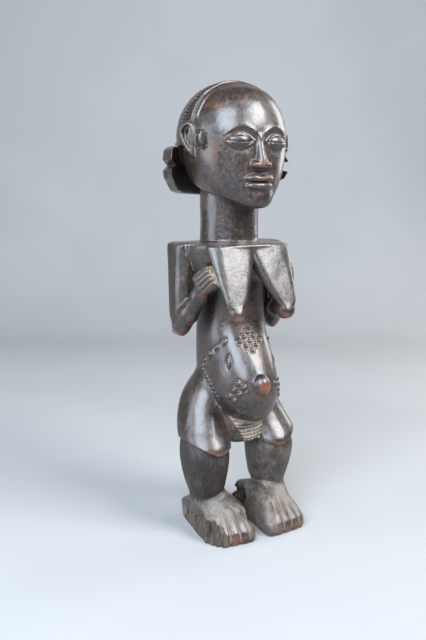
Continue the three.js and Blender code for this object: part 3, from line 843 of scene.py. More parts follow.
def scar_list():
    """Each stud's turn from the front, height, length, width, tilt, and if it comes twice."""
    made = []
    for i in (-1, 0, 1):
        for j in (-1, 0, 1):
            turn, z = DIAMOND_TURN + (i - j) * DIAMOND_ACROSS, DIAMOND_Z + (i + j) * DIAMOND_DOWN
            made.append((turn, z, *DIAMOND_STUD, 0, False))
    (t0, z0), (t1, z1), (t2, z2) = CHEVRON
    for i in range(CHEVRON_ABOVE):
        s = i / (CHEVRON_ABOVE - 1)
        turn, z = t0 + (t1 - t0) * s, z0 + (z1 - z0) * s
        made.append((turn, z, *CHEVRON_STUDS[0], CHEVRON_TILT[0], True))
    for i in range(CHEVRON_BELOW):
        s = (i + 0.9) / CHEVRON_BELOW
        turn, z = t1 + (t2 - t1) * s, z1 + (z2 - z1) * s
        long, wide = CHEVRON_STUDS[1]
        made.append((turn, z, long + 0.4 * s, wide, CHEVRON_TILT[1], True))
    for i in range(2):
        for j in range(3):
            turn = CLUSTER_TURN - CLUSTER_ROW[0] * i + CLUSTER_COLUMN[0] * j
            z = CLUSTER_Z - CLUSTER_ROW[1] * i - CLUSTER_COLUMN[1] * j
            made.append((turn, z, *CLUSTER_STUD, 0, True))
    return made


# How much further than its blend a form is felt, for fine work and for a first try, and how
# far away the empty air counts as. Then the sizes of the waves in the surface and the breaks.
NEAR_REACH = 2.5
FAR_REACH = 11.0
OUTSIDE = 30.0
ADZE_BROAD = (13, 13, 22)
ADZE_FINE = (5, 5, 9)
FIBRES = (1.6, 1.6, 14)
SPLINTERS = (4, 4, 7)
PITS = (2.4, 2.4, 8)
BROAD_DEEP = 0.28
FINE_DEEP = 0.1
SPLIT_ROUGH = (0.8, 0.9)
HOLE_ROUGH = (1.2, 1.5)


# Each form in the order of the work, with how it is used and its blend in millimetres. A form
# is drawn on the right and mirrored, unless it is lone. Left ear and leg stand further in.
STEPS = (
    ("join", head, 1), ("cut", under_jaw, 5), ("face", face, 3), ("rise", headband, 1),
    ("join", hair, 0.8), ("ear join", ear, 1.0), ("ear join", TRAGUS, 1.0),
    *[("ear join", bar, 0.8) for bar in TRAGUS_BARS], ("cut", TRAGUS_HOLE, 0.8),
    ("ear join", TRAGUS_ARC, 1.0), ("lone join", chignon, 2.0), ("join", NECK, 1.6),
    ("join", TRUNK, 2), ("join", YOKE, 1.2), ("join", BELLY, 7),
    ("lone join", right_breast, 1.0), ("lone join", left_breast, 1.0),
    ("join", UPPER_ARM, 1.4), ("cut", SHOULDER_GROOVE, 1.2), ("join", FOREARM, 2.5),
    ("join", hand, 1.4), ("cut", SPINE, 5), ("leg join", thigh, 5), ("leg join", calf, 0.8),
    ("join", FORK, 2.5), ("lone rise", apron, 1), ("lone join", NAVEL, 0.7),
    ("leg join", foot, 0.5),
)


class Carving:
    """The whole figure as a field of distances, upright and with its neck on the Z axis."""

    def __init__(self, settings):
        self.wave, self.grain = Noise(7), Noise(11)
        self.settings = settings
        self.reach = NEAR_REACH
        self.scars = []  # the scars are placed on the skin as it is without them
        self.scars = self.place_scars()

    def __call__(self, points):
        """The distance of each point to the skin, below zero inside the wood."""
        points = np.asarray(points, np.float32)
        d = np.full(len(points), OUTSIDE, np.float32)
        x, y, z = points.T
        right = -np.abs(x)
        sides = {
            "lone": x, "leg": leg_side(x, z), "ear": right - LEFT_EAR_SHIFT * (x > 0),
        }
        for use, form, k in STEPS:
            reach, box = k + self.reach, form.box
            side = sides.get(use.split()[0], right)
            near = (
                (side > box[0] - reach) & (side < box[1] + reach)
                & (y > box[2] - reach) & (y < box[3] + reach)
                & (z > box[4] - reach) & (z < box[5] + reach)
            )
            at = np.flatnonzero(near)
            if not len(at):
                continue
            px, py, pz = side[at], y[at], z[at]
            if use == "face":
                d[at] = form(d[at], px, py, pz)
                continue
            value = form(px, py, pz)
            if use.endswith("rise"):
                d[at] = d[at] - value
            elif use == "cut":
                d[at] = common(d[at], -value, k)
            else:
                d[at] = join(d[at], value, k)
        d = self.marks(d, points)
        return self.damage(d, points)

    def marks(self, d, points):
        """Scars, the lozenge on each flank, the chip under the belly and the collar's line."""
        x, y, z = points.T
        top = np.flatnonzero((z > SHOULDER_Z - 1) & (z < SHOULDER_Z + 6) & (np.abs(y) < 50))
        if len(top):
            side = YOKE(x[top], y[top], np.full(len(top), SHOULDER_Z - 2, np.float32))
            d[top] += COLLAR_DEEP * bump(side + COLLAR_IN, 1.1)
        belt = on_belly(x, y, z)
        if not len(belt) or not self.scars:
            return d
        q = points[belt]
        stud, bed = self.studs_and_beds(q)
        d[belt] += BED_DEEP * bed - (self.settings.stud_height / MM + BED_DEEP) * stud
        for at, across, up, out in self.lozenges:
            p = q - at
            a, b = np.abs(p @ across) / LOZENGE[0], np.abs(p @ up) / LOZENGE[1]
            r = a + b * b
            near = smooth(6, 4, np.abs(p @ out))
            d[belt] += near * (bump(r - 1, 0.5) - LOZENGE_RISE * smooth(0.62, 0.2, r))
        for at, size in self.chips:
            k = np.linalg.norm((q - at) / size, axis=1) + 0.35 * self.wave(q, (3, 3, 3))
            d[belt] += CHIP_DEEP * smooth(1.1, 0.6, k)
        return d

    def studs_and_beds(self, q):
        """How far each point is up a stud, and how far down in a bed, both from 0 to 1."""
        stud = np.zeros(len(q), np.float32)
        bed = np.zeros(len(q), np.float32)
        for at, across, up, out, long, wide in self.scars:
            p = q - at
            near = np.flatnonzero((np.abs(p) < long + 4).all(1))
            p = p[near]
            a, b, c = p @ across / wide, p @ up / long, p @ out / (long + 1.5)
            r = np.sqrt(a * a + b * b + 0.2 * c * c)
            stud[near] = np.maximum(stud[near], smooth(1.15, 0.45, r))
            depth = 0.5 if (long, wide) == CLUSTER_STUD else 1.0
            rim = depth * smooth(1 + 1.7 / long, 1 + 0.7 / long, r)
            bed[near] = np.maximum(bed[near], rim)
        for a, b in self.channel:
            along = b - a
            t = np.clip((q - a) @ along / (along @ along), 0, 1)
            away = np.linalg.norm(q - a - t[:, None] * along, axis=1)
            bed = np.maximum(bed, smooth(CHANNEL_HALF + 0.5, CHANNEL_HALF - 0.4, away))
        return stud, bed

    def damage(self, d, points):
        """The broken side of the right foot, the eaten heel of the left one, and the waves
        that the adze left all over."""
        d = d + BROAD_DEEP * self.wave(points, ADZE_BROAD)
        d = d + FINE_DEEP * self.wave(points + 50, ADZE_FINE)
        low = np.flatnonzero(points[:, 2] < BROKEN_BELOW)
        if len(low):
            p = points[low]
            fibre = self.grain(p, FIBRES)
            rough = self.wave(p, SPLINTERS)
            pits = self.grain(p, PITS)
            gone = split(*p.T) + SPLIT_ROUGH[0] * fibre + SPLIT_ROUGH[1] * rough
            d[low] = common(d[low], -gone, 0.8)
            for hole in HOLES:
                eaten = hole(*p.T) + HOLE_ROUGH[0] * rough + HOLE_ROUGH[1] * pits
                d[low] = common(d[low], -eaten, 0.7)
        return d

    def spot(self, turn, z):
        """Where a level ray from the middle leaves the body, with the way the skin faces."""
        out = np.linspace(10, 80, 281)
        angle = math.radians(turn)
        line = np.column_stack([-math.sin(angle) * out, -math.cos(angle) * out, np.full(281, z)])
        hit = line[np.flatnonzero(self(line) > 0)[0]]
        return hit, unit(self.slope(hit[None])[0])

    def lie(self, turn, z, tilt):
        """A place on the skin with its across, up and outward directions."""
        hit, out = self.spot(turn, z)
        level = unit(np.cross(out, (0, 0, 1)))
        upward = np.cross(level, out)
        lean = math.radians(tilt)
        up = unit(upward * math.cos(lean) + level * math.sin(lean))
        return hit, np.cross(out, up), up, out

    def place_scars(self):
        """Lays each mark flat on the skin."""
        made = []
        for turn, z, long, wide, tilt, both in scar_list():
            for side in ((1, -1) if both else (1,)):
                made.append((*self.lie(turn * side, z, tilt * side), long, wide))
        self.channel = []
        for side in (1, -1):
            for a, b in zip(CHEVRON, CHEVRON[1:]):
                stops = [
                    self.spot(side * (a[0] + (b[0] - a[0]) * t), a[1] + (b[1] - a[1]) * t)[0]
                    for t in np.linspace(0, 1, 5)
                ]
                self.channel += list(zip(stops, stops[1:]))
        self.lozenges = [
            self.lie(side * LOZENGE_TURN, LOZENGE_Z, side * LOZENGE_TILT) for side in (1, -1)
        ]
        self.chips = [(self.spot(turn, z)[0], np.array(size)) for turn, z, size in CHIPS]
        return made

    def slope(self, points, h=0.3):
        """Which way the field rises, at each point."""
        corners = np.array([(1, -1, -1), (-1, -1, 1), (-1, 1, -1), (1, 1, 1)], np.float32)
        return sum(self(points + h * c)[:, None] * c for c in corners) / (4 * h)


# Skin of the field

BLOCK = 8  # cells along one side of a block
BATCH = 1500  # blocks that are worked out at a time


def skin(field, low, high, step):
    """Points and four-sided faces on the surface where the field is zero.

    The field is tried in the middle of each block first, and only the blocks near the surface
    are filled in cell by cell.
    """
    block = BLOCK
    count = np.ceil((np.array(high) - low) / (step * block)).astype(int)
    centres = np.stack(np.meshgrid(
        *[(np.arange(n) + 0.5) * block * step + o - step / 2 for n, o in zip(count, low)],
        indexing="ij",
    ), -1).reshape(-1, 3)
    field.reach = FAR_REACH
    rough = field(centres).reshape(count)
    field.reach = NEAR_REACH
    values = np.where(rough < 0, -9, 9).astype(np.float32)
    for axis in range(3):
        values = np.repeat(values, block, axis)
    active = np.argwhere(np.abs(rough) < block * step * 0.87 + 4)
    inner = np.stack(np.meshgrid(*[np.arange(block)] * 3, indexing="ij"), -1).reshape(-1, 3)
    for start in range(0, len(active), BATCH):
        cells = (active[start:start + BATCH, None] * block + inner).reshape(-1, 3)
        values[tuple(cells.T)] = field(cells * step + low)
    return skin_of(values, np.array(low), step)


def skin_of(values, low, step):
    """One point in each cell that the surface crosses, and a face over each crossed edge."""
    inside = values < 0
    shape = np.array(values.shape)
    strides = np.array([shape[1] * shape[2], shape[2], 1])
    sums, hits, faces = [], [], []
    for axis in range(3):
        a = [slice(1, -1)] * 3
        b = [slice(1, -1)] * 3
        a[axis], b[axis] = slice(1, -2), slice(2, -1)
        change = inside[tuple(a)] != inside[tuple(b)]
        at = np.argwhere(change) + 1
        nxt = at.copy()
        nxt[:, axis] += 1
        v0, v1 = values[tuple(at.T)], values[tuple(nxt.T)]
        t = v0 / (v0 - v1)
        cross = at.astype(np.float64)
        cross[:, axis] += t
        u, w = (axis + 1) % 3, (axis + 2) % 3
        ring = []
        for du, dw in ((0, 0), (-1, 0), (-1, -1), (0, -1)):
            cell = at.copy()
            cell[:, u] += du
            cell[:, w] += dw
            flat = cell @ strides
            ring.append(flat)
            sums.append(cross)
            hits.append(flat)
        quad = np.stack(ring, 1)
        flip = v0 > 0
        quad[flip] = quad[flip][:, ::-1]
        faces.append(quad)
    hits = np.concatenate(hits)
    sums = np.concatenate(sums)
    cells, index = np.unique(hits, return_inverse=True)
    number = np.bincount(index)
    points = np.stack([np.bincount(index, sums[:, i]) / number for i in range(3)], 1)
    faces = np.searchsorted(cells, np.concatenate(faces))
    return points * step + low, faces


def settle(field, points, rounds, most):
    """Moves points onto the surface of the field."""
    for _ in range(rounds):
        slope = field.slope(points)
        value = field(points)
        length = np.maximum((slope ** 2).sum(1), 0.2)
        move = slope * (value / length)[:, None]
        size = np.linalg.norm(move, axis=1, keepdims=True)
        points = points - move * np.minimum(1, most / np.maximum(size, 1e-6))
    return points


def in_frame(points):
    """Leans the upright figure, and puts it where the part stands, in metres."""
    low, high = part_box(NODE)
    p = np.array(points, float)
    p[:, 0] += LEAN_SHIFT * np.maximum(0, 1 - p[:, 2] / LEAN_FADES_AT)
    p[:, 0] += low.x / MM + CHIGNON_REACH
    p[:, 1] += low.y / MM - NAVEL_TIP
    p *= MM
    return np.clip(p, np.array(low), np.array(high))


# Measures of the finished skin that the material reads. A spot is a middle, three radii and
# the most that it gives; it is on the right side and mirrored to the left.

RED_SPOTS = [
    ((-26, -66, 224.5), (6, 7, 7), 0.85), ((0, -69, 160), (10, 8, 11), 1),
    ((-53, -4, 207), (8, 12, 6), 0.6), ((-52, -14, 224), (6, 12, 9), 0.5),
    ((-48, -42, 247), (9, 12, 5), 0.9),
    ((-31, -58, 5), (24, 6, 6), 0.6), ((0, -64, 352), (14, 8, 7), 0.45),
    ((0, -66, 365), (9, 6, 6), 0.5), ((-20, -40, 428), (34, 28, 16), 0.36),
    ((-40, -40, 372), (10, 12, 14), 0.4), ((-58, -10, 260), (4, 8, 26), 0.3),
    ((-58, 5, 118), (6, 10, 12), 0.3),
]
EARTH_LEAST = 0.35
EARTH_SPOTS = [
    ((0, -30, 174), (46, 46, 42), 1), ((0, -18, 426), (60, 8, 20), 0.85),
    ((-53, -12, 389), (12, 16, 20), 0.8), ((-48, -38, 261), (14, 18, 18), 0.9),
    ((-50, -14, 278), (5, 8, 16), 1), ((-31, -45, 20), (32, 22, 20), 1),
    ((0, -8, 293), (56, 50, 5), 0.6), ((0, 56, 367), (64, 12, 32), 0.8),
]


# How far off the skin the field is felt for an edge or a cut, and for a wide hollow, and how
# strongly each one counts.
CLOSE = 1.0
WIDE = 4.0
WORN_GAIN = 1.4
CUT_GAIN = 1.5
HOLLOW_GAIN = 1.2

# Zones of the skin. Each pair holds where a zone begins and where it is full.
FOOT_DUST = (40, 36)
INNER_THIGH_X = (30, 12)
INNER_THIGH_Z = (140, 118)
TOE_ENDS_Y = (-44, -54)
TOE_ENDS_Z = (26, 18)
SOLE_EDGE = (14, 6)
BELLY_STUDS_Y = (0, -12)
BELLY_STUDS_Z = 172
SHIN_SIDE = 0.25
DUST_ON_SHIN = 0.85
DUST_ON_THIGH = 0.6
EARTH_AT_TOES = 0.85
EARTH_AT_SHOULDER = 0.6
EARTH_AT_INSTEP = 0.42
RED_ON_LEDGE = 0.75


def away_from(spot, points):
    """How far the points are from a spot's middle along each axis, in its own radii."""
    middle, radii, _ = spot
    return (points - np.array(middle)) / np.array(radii)


def bends(field, points):
    """Worn edges, cuts and wide hollows, from how the field bends at the skin."""
    slope = field.slope(points)
    normal = slope / np.maximum(np.linalg.norm(slope, axis=1, keepdims=True), 1e-6)
    base = field(points)

    def lift(distance):
        return (field(points + normal * distance) - base) / distance - 1

    worn = np.clip(lift(-CLOSE) * WORN_GAIN, 0, 1)
    cut = np.clip(-lift(CLOSE) * CUT_GAIN, 0, 1)
    return worn, cut, np.clip(-lift(WIDE) * HOLLOW_GAIN, 0, 1)


def rubbed_red(field, points, right, leg):
    """Where hands have rubbed the patina down to the red wood."""
    x, y, z = points.T
    red = np.zeros(len(points))
    for spot in RED_SPOTS:
        away = np.linalg.norm(away_from(spot, right), axis=1)
        red = np.maximum(red, np.clip(1.3 - away, 0, spot[2]))
    edge = smooth(5, 1, np.abs(z - ledge(leg) - 0.5)) * smooth(5, -5, y) * (np.abs(x) > 14)
    uneven = np.clip(0.45 + 1.1 * field.wave(points.astype(np.float32), (11, 11, 7)), 0.1, 1)
    return np.maximum(red, RED_ON_LEDGE * edge * uneven)


def earth_in_cuts(field, points, right, leg, cut):
    """How full of pale earth each cut is."""
    x, y, z = points.T
    earth = np.full(len(points), EARTH_LEAST)
    for spot in EARTH_SPOTS:
        away = np.abs(away_from(spot, right)).max(1)
        earth = np.maximum(earth, spot[2] * smooth(1.15, 0.95, away))
    cut = cut * earth * smooth(1.2, 0.2, apron(x, y, z))
    belt = on_belly(x, y, z)
    stud, bed = field.studs_and_beds(points[belt].astype(np.float32))
    patchy = 0.5 + 0.42 * field.wave(points[belt].astype(np.float32), (4, 4, 4))
    cut[belt] = np.maximum(cut[belt] * (1 - stud), patchy * bed * smooth(0.3, 0.05, stud))
    toes = smooth(0.25, 0.7, toe_grooves(leg, y, z)) * smooth(34, 26, z) * smooth(0, 2, z)
    cut = np.maximum(cut, EARTH_AT_TOES * toes)
    groove = smooth(0.9, 0.1, np.abs(SHOULDER_GROOVE(right[:, 0], y, z)))
    cut = np.maximum(cut, EARTH_AT_SHOULDER * groove * smooth(288, 280, z) * (x < 0))
    crease = np.abs(above_instep(leg, z)) + 0.15 * np.maximum(y + 10, 0)
    return np.maximum(cut, EARTH_AT_INSTEP * smooth(4.5, 0.5, crease))


def above_instep(leg, z):
    """How far a point is above the slanting line where the shin meets the foot."""
    return z - INSTEP_Z - INSTEP_TILT * (leg - INSTEP_X)


def broken(points):
    """Where the raw wood shows, and where the insides of the eaten holes are painted near-black as
    shade.
    """
    raw = np.zeros(len(points))
    low = np.flatnonzero(points[:, 2] < BROKEN_BELOW)
    p = points[low]
    raw[low] = smooth(1.9, 1.2, np.abs(split(*p.T)))
    char = np.zeros(len(points))
    for hole in HOLES:
        depth = hole(*p.T)
        char[low] = np.maximum(char[low], smooth(0.8, -1.2, depth))
        raw[low] = np.maximum(raw[low], smooth(2.4, 1.4, depth))
    return raw, char


def dusty_and_shin(x, y, z, leg):
    """Where pale dust lies on feet, shins and inner thighs, and where the shins are bare."""
    shin = smooth(0, 4, above_instep(leg, z)) * smooth(2, -2, z - ledge(leg))
    inner = smooth(*INNER_THIGH_X, np.abs(x)) * smooth(*INNER_THIGH_Z, z)
    left_shin = DUST_ON_SHIN * (x > 0) * shin
    toe_ends = smooth(*TOE_ENDS_Y, y) * smooth(*TOE_ENDS_Z, z)
    toe_ends = toe_ends + 0.5 * smooth(*SOLE_EDGE, z)
    polished = (x < -30) * smooth(-40, -46, x) * smooth(15, 18, z) * smooth(31, 27, z)
    toe_ends = np.maximum(toe_ends, polished * smooth(-42, -34, y))
    foot_dust = smooth(*FOOT_DUST, z) * (1 - 0.8 * np.clip(toe_ends, 0, 1))
    dusty = np.clip(foot_dust + DUST_ON_THIGH * inner + left_shin, 0, 1)
    return dusty, shin * np.where(x < 0, 1, SHIN_SIDE)


def measures(field, points):
    """What varies over the skin: worn edges, cuts that hold dust, wide hollows for painted shade,
    raw wood, holes painted dark as shade, and zones.
    """
    x, y, z = points.T
    right = np.column_stack([-np.abs(x), y, z])
    leg = leg_side(x, z)
    worn, cut, hollow = bends(field, points)
    studs = smooth(*BELLY_STUDS_Y, y) * smooth(44, 38, np.abs(z - BELLY_STUDS_Z))
    studs = studs * smooth(8, 13, np.abs(x + 1.5))
    worn = worn * (1 - 0.75 * studs) * (1 - 0.6 * bump(z - SHOULDER_Z, 4))
    raw, char = broken(points)
    dusty, calf = dusty_and_shin(x, y, z, leg)
    return {
        "worn": worn, "cut": earth_in_cuts(field, points, right, leg, cut), "hollow": hollow,
        "red": rubbed_red(field, points, right, leg), "raw": raw, "char": char,
        # the cloth's measure is 0 in its grooves, which the material leaves dark as painted shade
        "cloth": smooth(0.5, 1.4, apron(x, y, z)), "dusty": dusty, "calf": calf,
    }


# Material nodes

class Value:
    """A number from a node's socket, which Python's operators turn into Math nodes."""

    def __init__(self, maker, socket):
        self.maker, self.socket = maker, socket

    def math(self, operation, *values, **settings):
        return self.maker.node(
            "ShaderNodeMath", {"operation": operation, **settings}, dict(enumerate(values)),
        )

    def __add__(self, other):
        return self.math("ADD", self, other)

    def __radd__(self, other):
        return self.math("ADD", other, self)

    def __sub__(self, other):
        return self.math("SUBTRACT", self, other)

    def __rsub__(self, other):
        return self.math("SUBTRACT", other, self)

    def __mul__(self, other):
        return self.math("MULTIPLY", self, other)

    def __rmul__(self, other):
        return self.math("MULTIPLY", other, self)

    def clamp(self):
        """The same value, kept between 0 and 1."""
        return self.math("ADD", self, 0.0, use_clamp=True)


class Maker:
    """Adds the nodes of one material."""

    def __init__(self, name):
        self.material = bpy.data.materials.new(name)
        self.material.use_nodes = True
        self.tree = self.material.node_tree
        self.tree.nodes.clear()

    def node(self, kind, settings=None, inputs=None, output=0):
        """A node of one type: its settings come first, then its sockets' values or links."""
        made = self.tree.nodes.new(kind)
        for key, value in (settings or {}).items():
            setattr(made, key, value)
        for key, value in (inputs or {}).items():
            socket = made.inputs[key]
            if isinstance(value, Value):
                self.tree.links.new(value.socket, socket)
            else:
                socket.default_value = value
        return Value(self, made.outputs[output]) if len(made.outputs) else None

    def attribute(self, name):
        """A measure that the skin carries."""
        return self.node("ShaderNodeAttribute", {"attribute_name": name}, output="Fac")

    def mix(self, factor, a, b):
        """Two colours mixed by a factor."""
        settings = {"data_type": "RGBA", "clamp_factor": True}
        a, b = (c if isinstance(c, Value) else (*c[:3], 1.0) for c in (a, b))
        return self.node("ShaderNodeMix", settings, {0: factor, 6: a, 7: b}, output=2)

    def step(self, value, low, high):
        """A smooth mask that is 0 below low and 1 above high."""
        return self.node(
            "ShaderNodeMapRange", {"interpolation_type": "SMOOTHSTEP"},
            {"Value": value, "From Min": low, "From Max": high, "To Min": 0.0, "To Max": 1.0},
        )

    def noise(self, place, scale, detail=3.0, rough=0.55, distort=0.0):
        """Cloudy values round 0.5, with this many clouds to a metre."""
        return self.node(
            "ShaderNodeTexNoise", {},
            {"Vector": place, "Scale": scale, "Detail": detail, "Roughness": rough,
             "Distortion": distort},
        )

    def drawn_out(self, place, by):
        """A place squeezed along Z, so that what is laid on it is drawn out upwards."""
        return self.node(
            "ShaderNodeVectorMath", {"operation": "MULTIPLY"}, {0: place, 1: (1.0, 1.0, by)},
        )

    def finish(self, sockets):
        """The surface and the output, with which the material is done."""
        surface = self.node("ShaderNodeBsdfPrincipled", {}, sockets)
        self.node("ShaderNodeOutputMaterial", {}, {"Surface": surface})
        return self.material


def wood_material(finish):
    """Dark hardwood: a polished, handled patina, worn edges, dust in the cuts, raw breaks, and
    painted shade in the wide hollows, the cloth's grooves and the eaten holes.
    """
    m = Maker("carved_wood")
    place = m.node("ShaderNodeTexCoord", output="Object")
    worn, cut, hollow, red, raw, char, cloth, calf, dusty = (
        m.attribute(name)
        for name in ("worn", "cut", "hollow", "red", "raw", "char", "cloth", "calf", "dusty")
    )

    broad = m.noise(place, 22.0, 4.0)
    blotch = m.noise(place, 75.0, 5.0, 0.65, 0.6)
    speck = m.noise(place, 420.0, 4.0, 0.65)
    pores = m.noise(m.drawn_out(place, 0.1), 800.0, 3.0, 0.65)
    grain = m.noise(m.drawn_out(place, 0.13), 230.0, 5.0, 0.65, 0.3)
    streak = m.noise(m.drawn_out(place, 0.22), 80.0, 4.0, 0.65)

    # What lies where, from the patina up
    patchy = m.step(streak * 0.42 + blotch * 0.3 + speck * 0.28, 0.4, 0.6)
    ruddy = m.step(blotch + (broad - 0.5) * 0.8 + (speck - 0.5) * 0.4, 0.5, 0.72)
    film = m.step(broad * 0.5 + speck * 0.5, 0.44, 0.6) * 0.34 * (1.0 - red).clamp()
    edge = m.step(worn + (speck - 0.5) * 0.6, 0.3, 0.8)
    warm = m.step(red + (blotch - 0.5) * 0.9 + (speck - 0.5) * 0.5, 0.3, 0.95)
    dust = dusty * m.step(blotch * 0.45 + broad * 0.35 + speck * 0.2, 0.36, 0.62)
    # painted shade: the wide hollows of the skin are darkened, where shade falls
    shade = m.step(hollow + (broad - 0.5) * 0.4, 0.35, 1.0)
    # pale earth on the cloth's ridges only; its grooves keep the dark patina as painted shade
    chalk = cloth * m.step(speck * 0.5 + blotch * 0.5, 0.36, 0.56) * 0.75
    residue = m.step(cut + (speck - 0.5) * 0.8 + (blotch - 0.5) * 0.4, 0.26, 0.66)
    residue = (residue * (0.9 - red * 0.4)).clamp()
    fibres = m.step(grain * 0.6 + streak * 0.4, 0.42, 0.66)
    bare = m.step(raw + (speck - 0.5) * 0.5, 0.35, 0.65)
    # painted shade: the insides of the eaten holes go near-black
    eaten = m.step(char + (speck - 0.5) * 0.5, 0.3, 0.8)

    tone = m.mix(patchy, finish.dark, finish.brown)
    for mask, colour in (
        (ruddy * 0.75, finish.red_brown),
        (film, finish.film),
        (m.step(grain + pores, 1.02, 1.22) * 0.6, finish.dark),
        ((edge * (0.35 + 0.65 * red)).clamp() * 0.85, finish.worn),
        (warm * 0.7, finish.worn),
        (dust * 0.6, finish.grey_dust),
        (calf * m.step(pores + grain, 0.84, 1.06) * 0.95, finish.dark),
        # painted shade in the wide hollows
        (shade * 0.35, finish.dark),
        (chalk, finish.chalk),
        (residue * 0.8, finish.dust),
        (bare, m.mix(fibres, finish.raw_dark, finish.raw)),
        (eaten, finish.char),
    ):
        tone = m.mix(mask, tone, colour)

    rough = 0.21 + 0.14 * blotch + 0.12 * m.step(speck, 0.36, 0.66) + 0.3 * residue
    rough = rough + dusty * 0.14 + calf * 0.2 + chalk * 0.25
    rough = (rough + bare * 0.3 + m.step(char, 0.3, 0.8) * 0.3).clamp()
    coat = (0.42 - residue * 0.6 - bare * 0.6 - dusty * 0.3 - calf * 0.4 - chalk * 0.5).clamp()
    relief = pores * 0.2 + speck * 0.3 + blotch * 1.2 + grain * (0.5 + calf * 1.2 + bare * 2)
    bumps = m.node(
        "ShaderNodeBump", {}, {"Strength": 0.55, "Distance": 0.0011, "Height": relief},
    )
    return m.finish({
        "Base Color": tone, "Roughness": rough, "Coat Weight": coat, "Coat Roughness": 0.22,
        "Normal": bumps,
    })


def stage_material(colour):
    """Plain pale paper."""
    m = Maker("stage_paper")
    place = m.node("ShaderNodeTexCoord", output="Object")
    fleck = m.noise(place, 3.0, 2.0)
    darker = tuple(c * 0.96 for c in colour)
    tone = m.mix(m.step(fleck, 0.4, 0.6), colour, darker)
    return m.finish({"Base Color": tone, "Roughness": 0.9})


# Settings

def length(name, description, default, **more):
    """A setting that is a length, in metres."""
    return bpy.props.FloatProperty(
        name=name, description=description, default=default, unit="LENGTH", precision=4, **more,
    )


def colour(name, description, default):
    """A setting that is a colour."""
    return bpy.props.FloatVectorProperty(
        name=name, description=description, default=default, size=3, min=0, max=1,
        subtype="COLOR",
    )


class CarvingSettings(bpy.types.PropertyGroup):
    cell: length("Cell", "Spacing of the grid that the skin is found on", 0.00068)
    stud_height: length("Stud height", "How far each scar stands out of the skin", 0.0015)
    most_faces: bpy.props.IntProperty(
        name="Most faces", description="Triangles that the finished skin keeps",
        default=194000, min=10000,
    )


class FinishSettings(bpy.types.PropertyGroup):
    dark: colour("Dark wood", "The blackened patina", (0.0105, 0.0078, 0.0068))
    brown: colour("Brown wood", "The wood where the patina thins", (0.034, 0.0185, 0.0125))
    red_brown: colour("Red-brown wood", "Blotches of the handled surface", (0.062, 0.0235, 0.0135))
    film: colour("Film", "The grey bloom of the polish", (0.052, 0.05, 0.052))
    worn: colour("Worn wood", "Edges rubbed down to the red wood", (0.19, 0.062, 0.026))
    dust: colour("Residue", "Pale earth in the cuts", (0.235, 0.168, 0.115))
    grey_dust: colour("Grey dust", "Dust on the feet and shins", (0.175, 0.15, 0.122))
    chalk: colour("Cloth", "Pale earth rubbed over the ridged cloth", (0.36, 0.305, 0.245))
    raw: colour("Raw wood", "Fibres of the broken side", (0.13, 0.088, 0.058))
    raw_dark: colour("Raw wood, dark", "Gaps between the fibres", (0.02, 0.0135, 0.01))
    # painted shade: the near-black inside the eaten holes
    char: colour("Hollow", "The inside of the eaten holes", (0.008, 0.006, 0.005))


class StageSettings(bpy.types.PropertyGroup):
    floor: colour("Floor", "The paper that she stands on", (0.3, 0.3, 0.3))
    key_power: bpy.props.FloatProperty(
        name="Main light", description="Power of the large light in front", default=56.0,
        subtype="POWER",
    )
    focal: length("Focal length", "The camera's lens, in millimetres of a 36 mm sensor", 0.039375)


# Operators

# Where the skin is looked for, and up to what height the soles are flat, both in millimetres.
SPACE = ((-66.0, -75.0, -2.5), (66.0, 64.0, 448.0))
SOLE_FLAT_TO = 0.25


class CARVING_OT_figure(bpy.types.Operator):
    """Carves the figure as one closed skin and gives it its wood"""

    bl_idname = "carving.figure"
    bl_label = "Carve the figure"

    def execute(self, context):
        settings = context.scene.carving_settings
        field = Carving(settings)
        step = settings.cell / MM
        points, faces = skin(field, np.array(SPACE[0]), np.array(SPACE[1]), step)
        points = settle(field, points, 2, 0.6 * step)
        points[:, 2] = np.where(points[:, 2] < SOLE_FLAT_TO, 0.0, points[:, 2])
        mesh = bpy.data.meshes.new("carved_figure")
        build_mesh(mesh, points, faces)
        figure = bpy.data.objects.new("carved_figure", mesh)
        context.scene.collection.objects.link(figure)
        thin_out(figure, settings.most_faces)
        finish_skin(figure, field)
        figure.data.materials.append(wood_material(context.scene.finish_settings))
        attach(figure, "root")
        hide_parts(NODE)
        return {"FINISHED"}


def build_mesh(mesh, points, faces):
    """Fills a mesh with points and four-sided faces."""
    mesh.vertices.add(len(points))
    mesh.vertices.foreach_set("co", points.astype(np.float32).ravel())
    mesh.loops.add(faces.size)
    mesh.loops.foreach_set("vertex_index", faces.astype(np.int32).ravel())
    mesh.polygons.add(len(faces))
    starts = np.arange(0, faces.size, faces.shape[1], dtype=np.int32)
    mesh.polygons.foreach_set("loop_start", starts)
    mesh.update(calc_edges=True)
    if mesh.validate():
        raise RuntimeError("the skin of the figure isn't sound")


def thin_out(figure, most):
    """Merges small flat faces until the skin has at most so many triangles."""
    triangles = sum(len(p.vertices) - 2 for p in figure.data.polygons)
    if triangles <= most:
        return
    modifier = figure.modifiers.new("thin", "DECIMATE")
    modifier.ratio = most / triangles
    graph = bpy.context.evaluated_depsgraph_get()
    thinner = bpy.data.meshes.new_from_object(figure.evaluated_get(graph))
    figure.modifiers.clear()
    old = figure.data
    figure.data = thinner
    bpy.data.meshes.remove(old)
    thinner.name = "carved_figure"


def finish_skin(figure, field):
    """Measures the thinned skin and puts it in the frame."""
    mesh = figure.data
    flat = np.empty(len(mesh.vertices) * 3, np.float32)
    mesh.vertices.foreach_get("co", flat)
    points = flat.reshape(-1, 3).astype(float)
    for name, values in measures(field, points).items():
        layer = mesh.attributes.new(name, "FLOAT", "POINT")
        layer.data.foreach_set("value", values.astype(np.float32))
    mesh.vertices.foreach_set("co", in_frame(points).astype(np.float32).ravel())
    mesh.polygons.foreach_set("use_smooth", np.ones(len(mesh.polygons), bool))
    mesh.update()


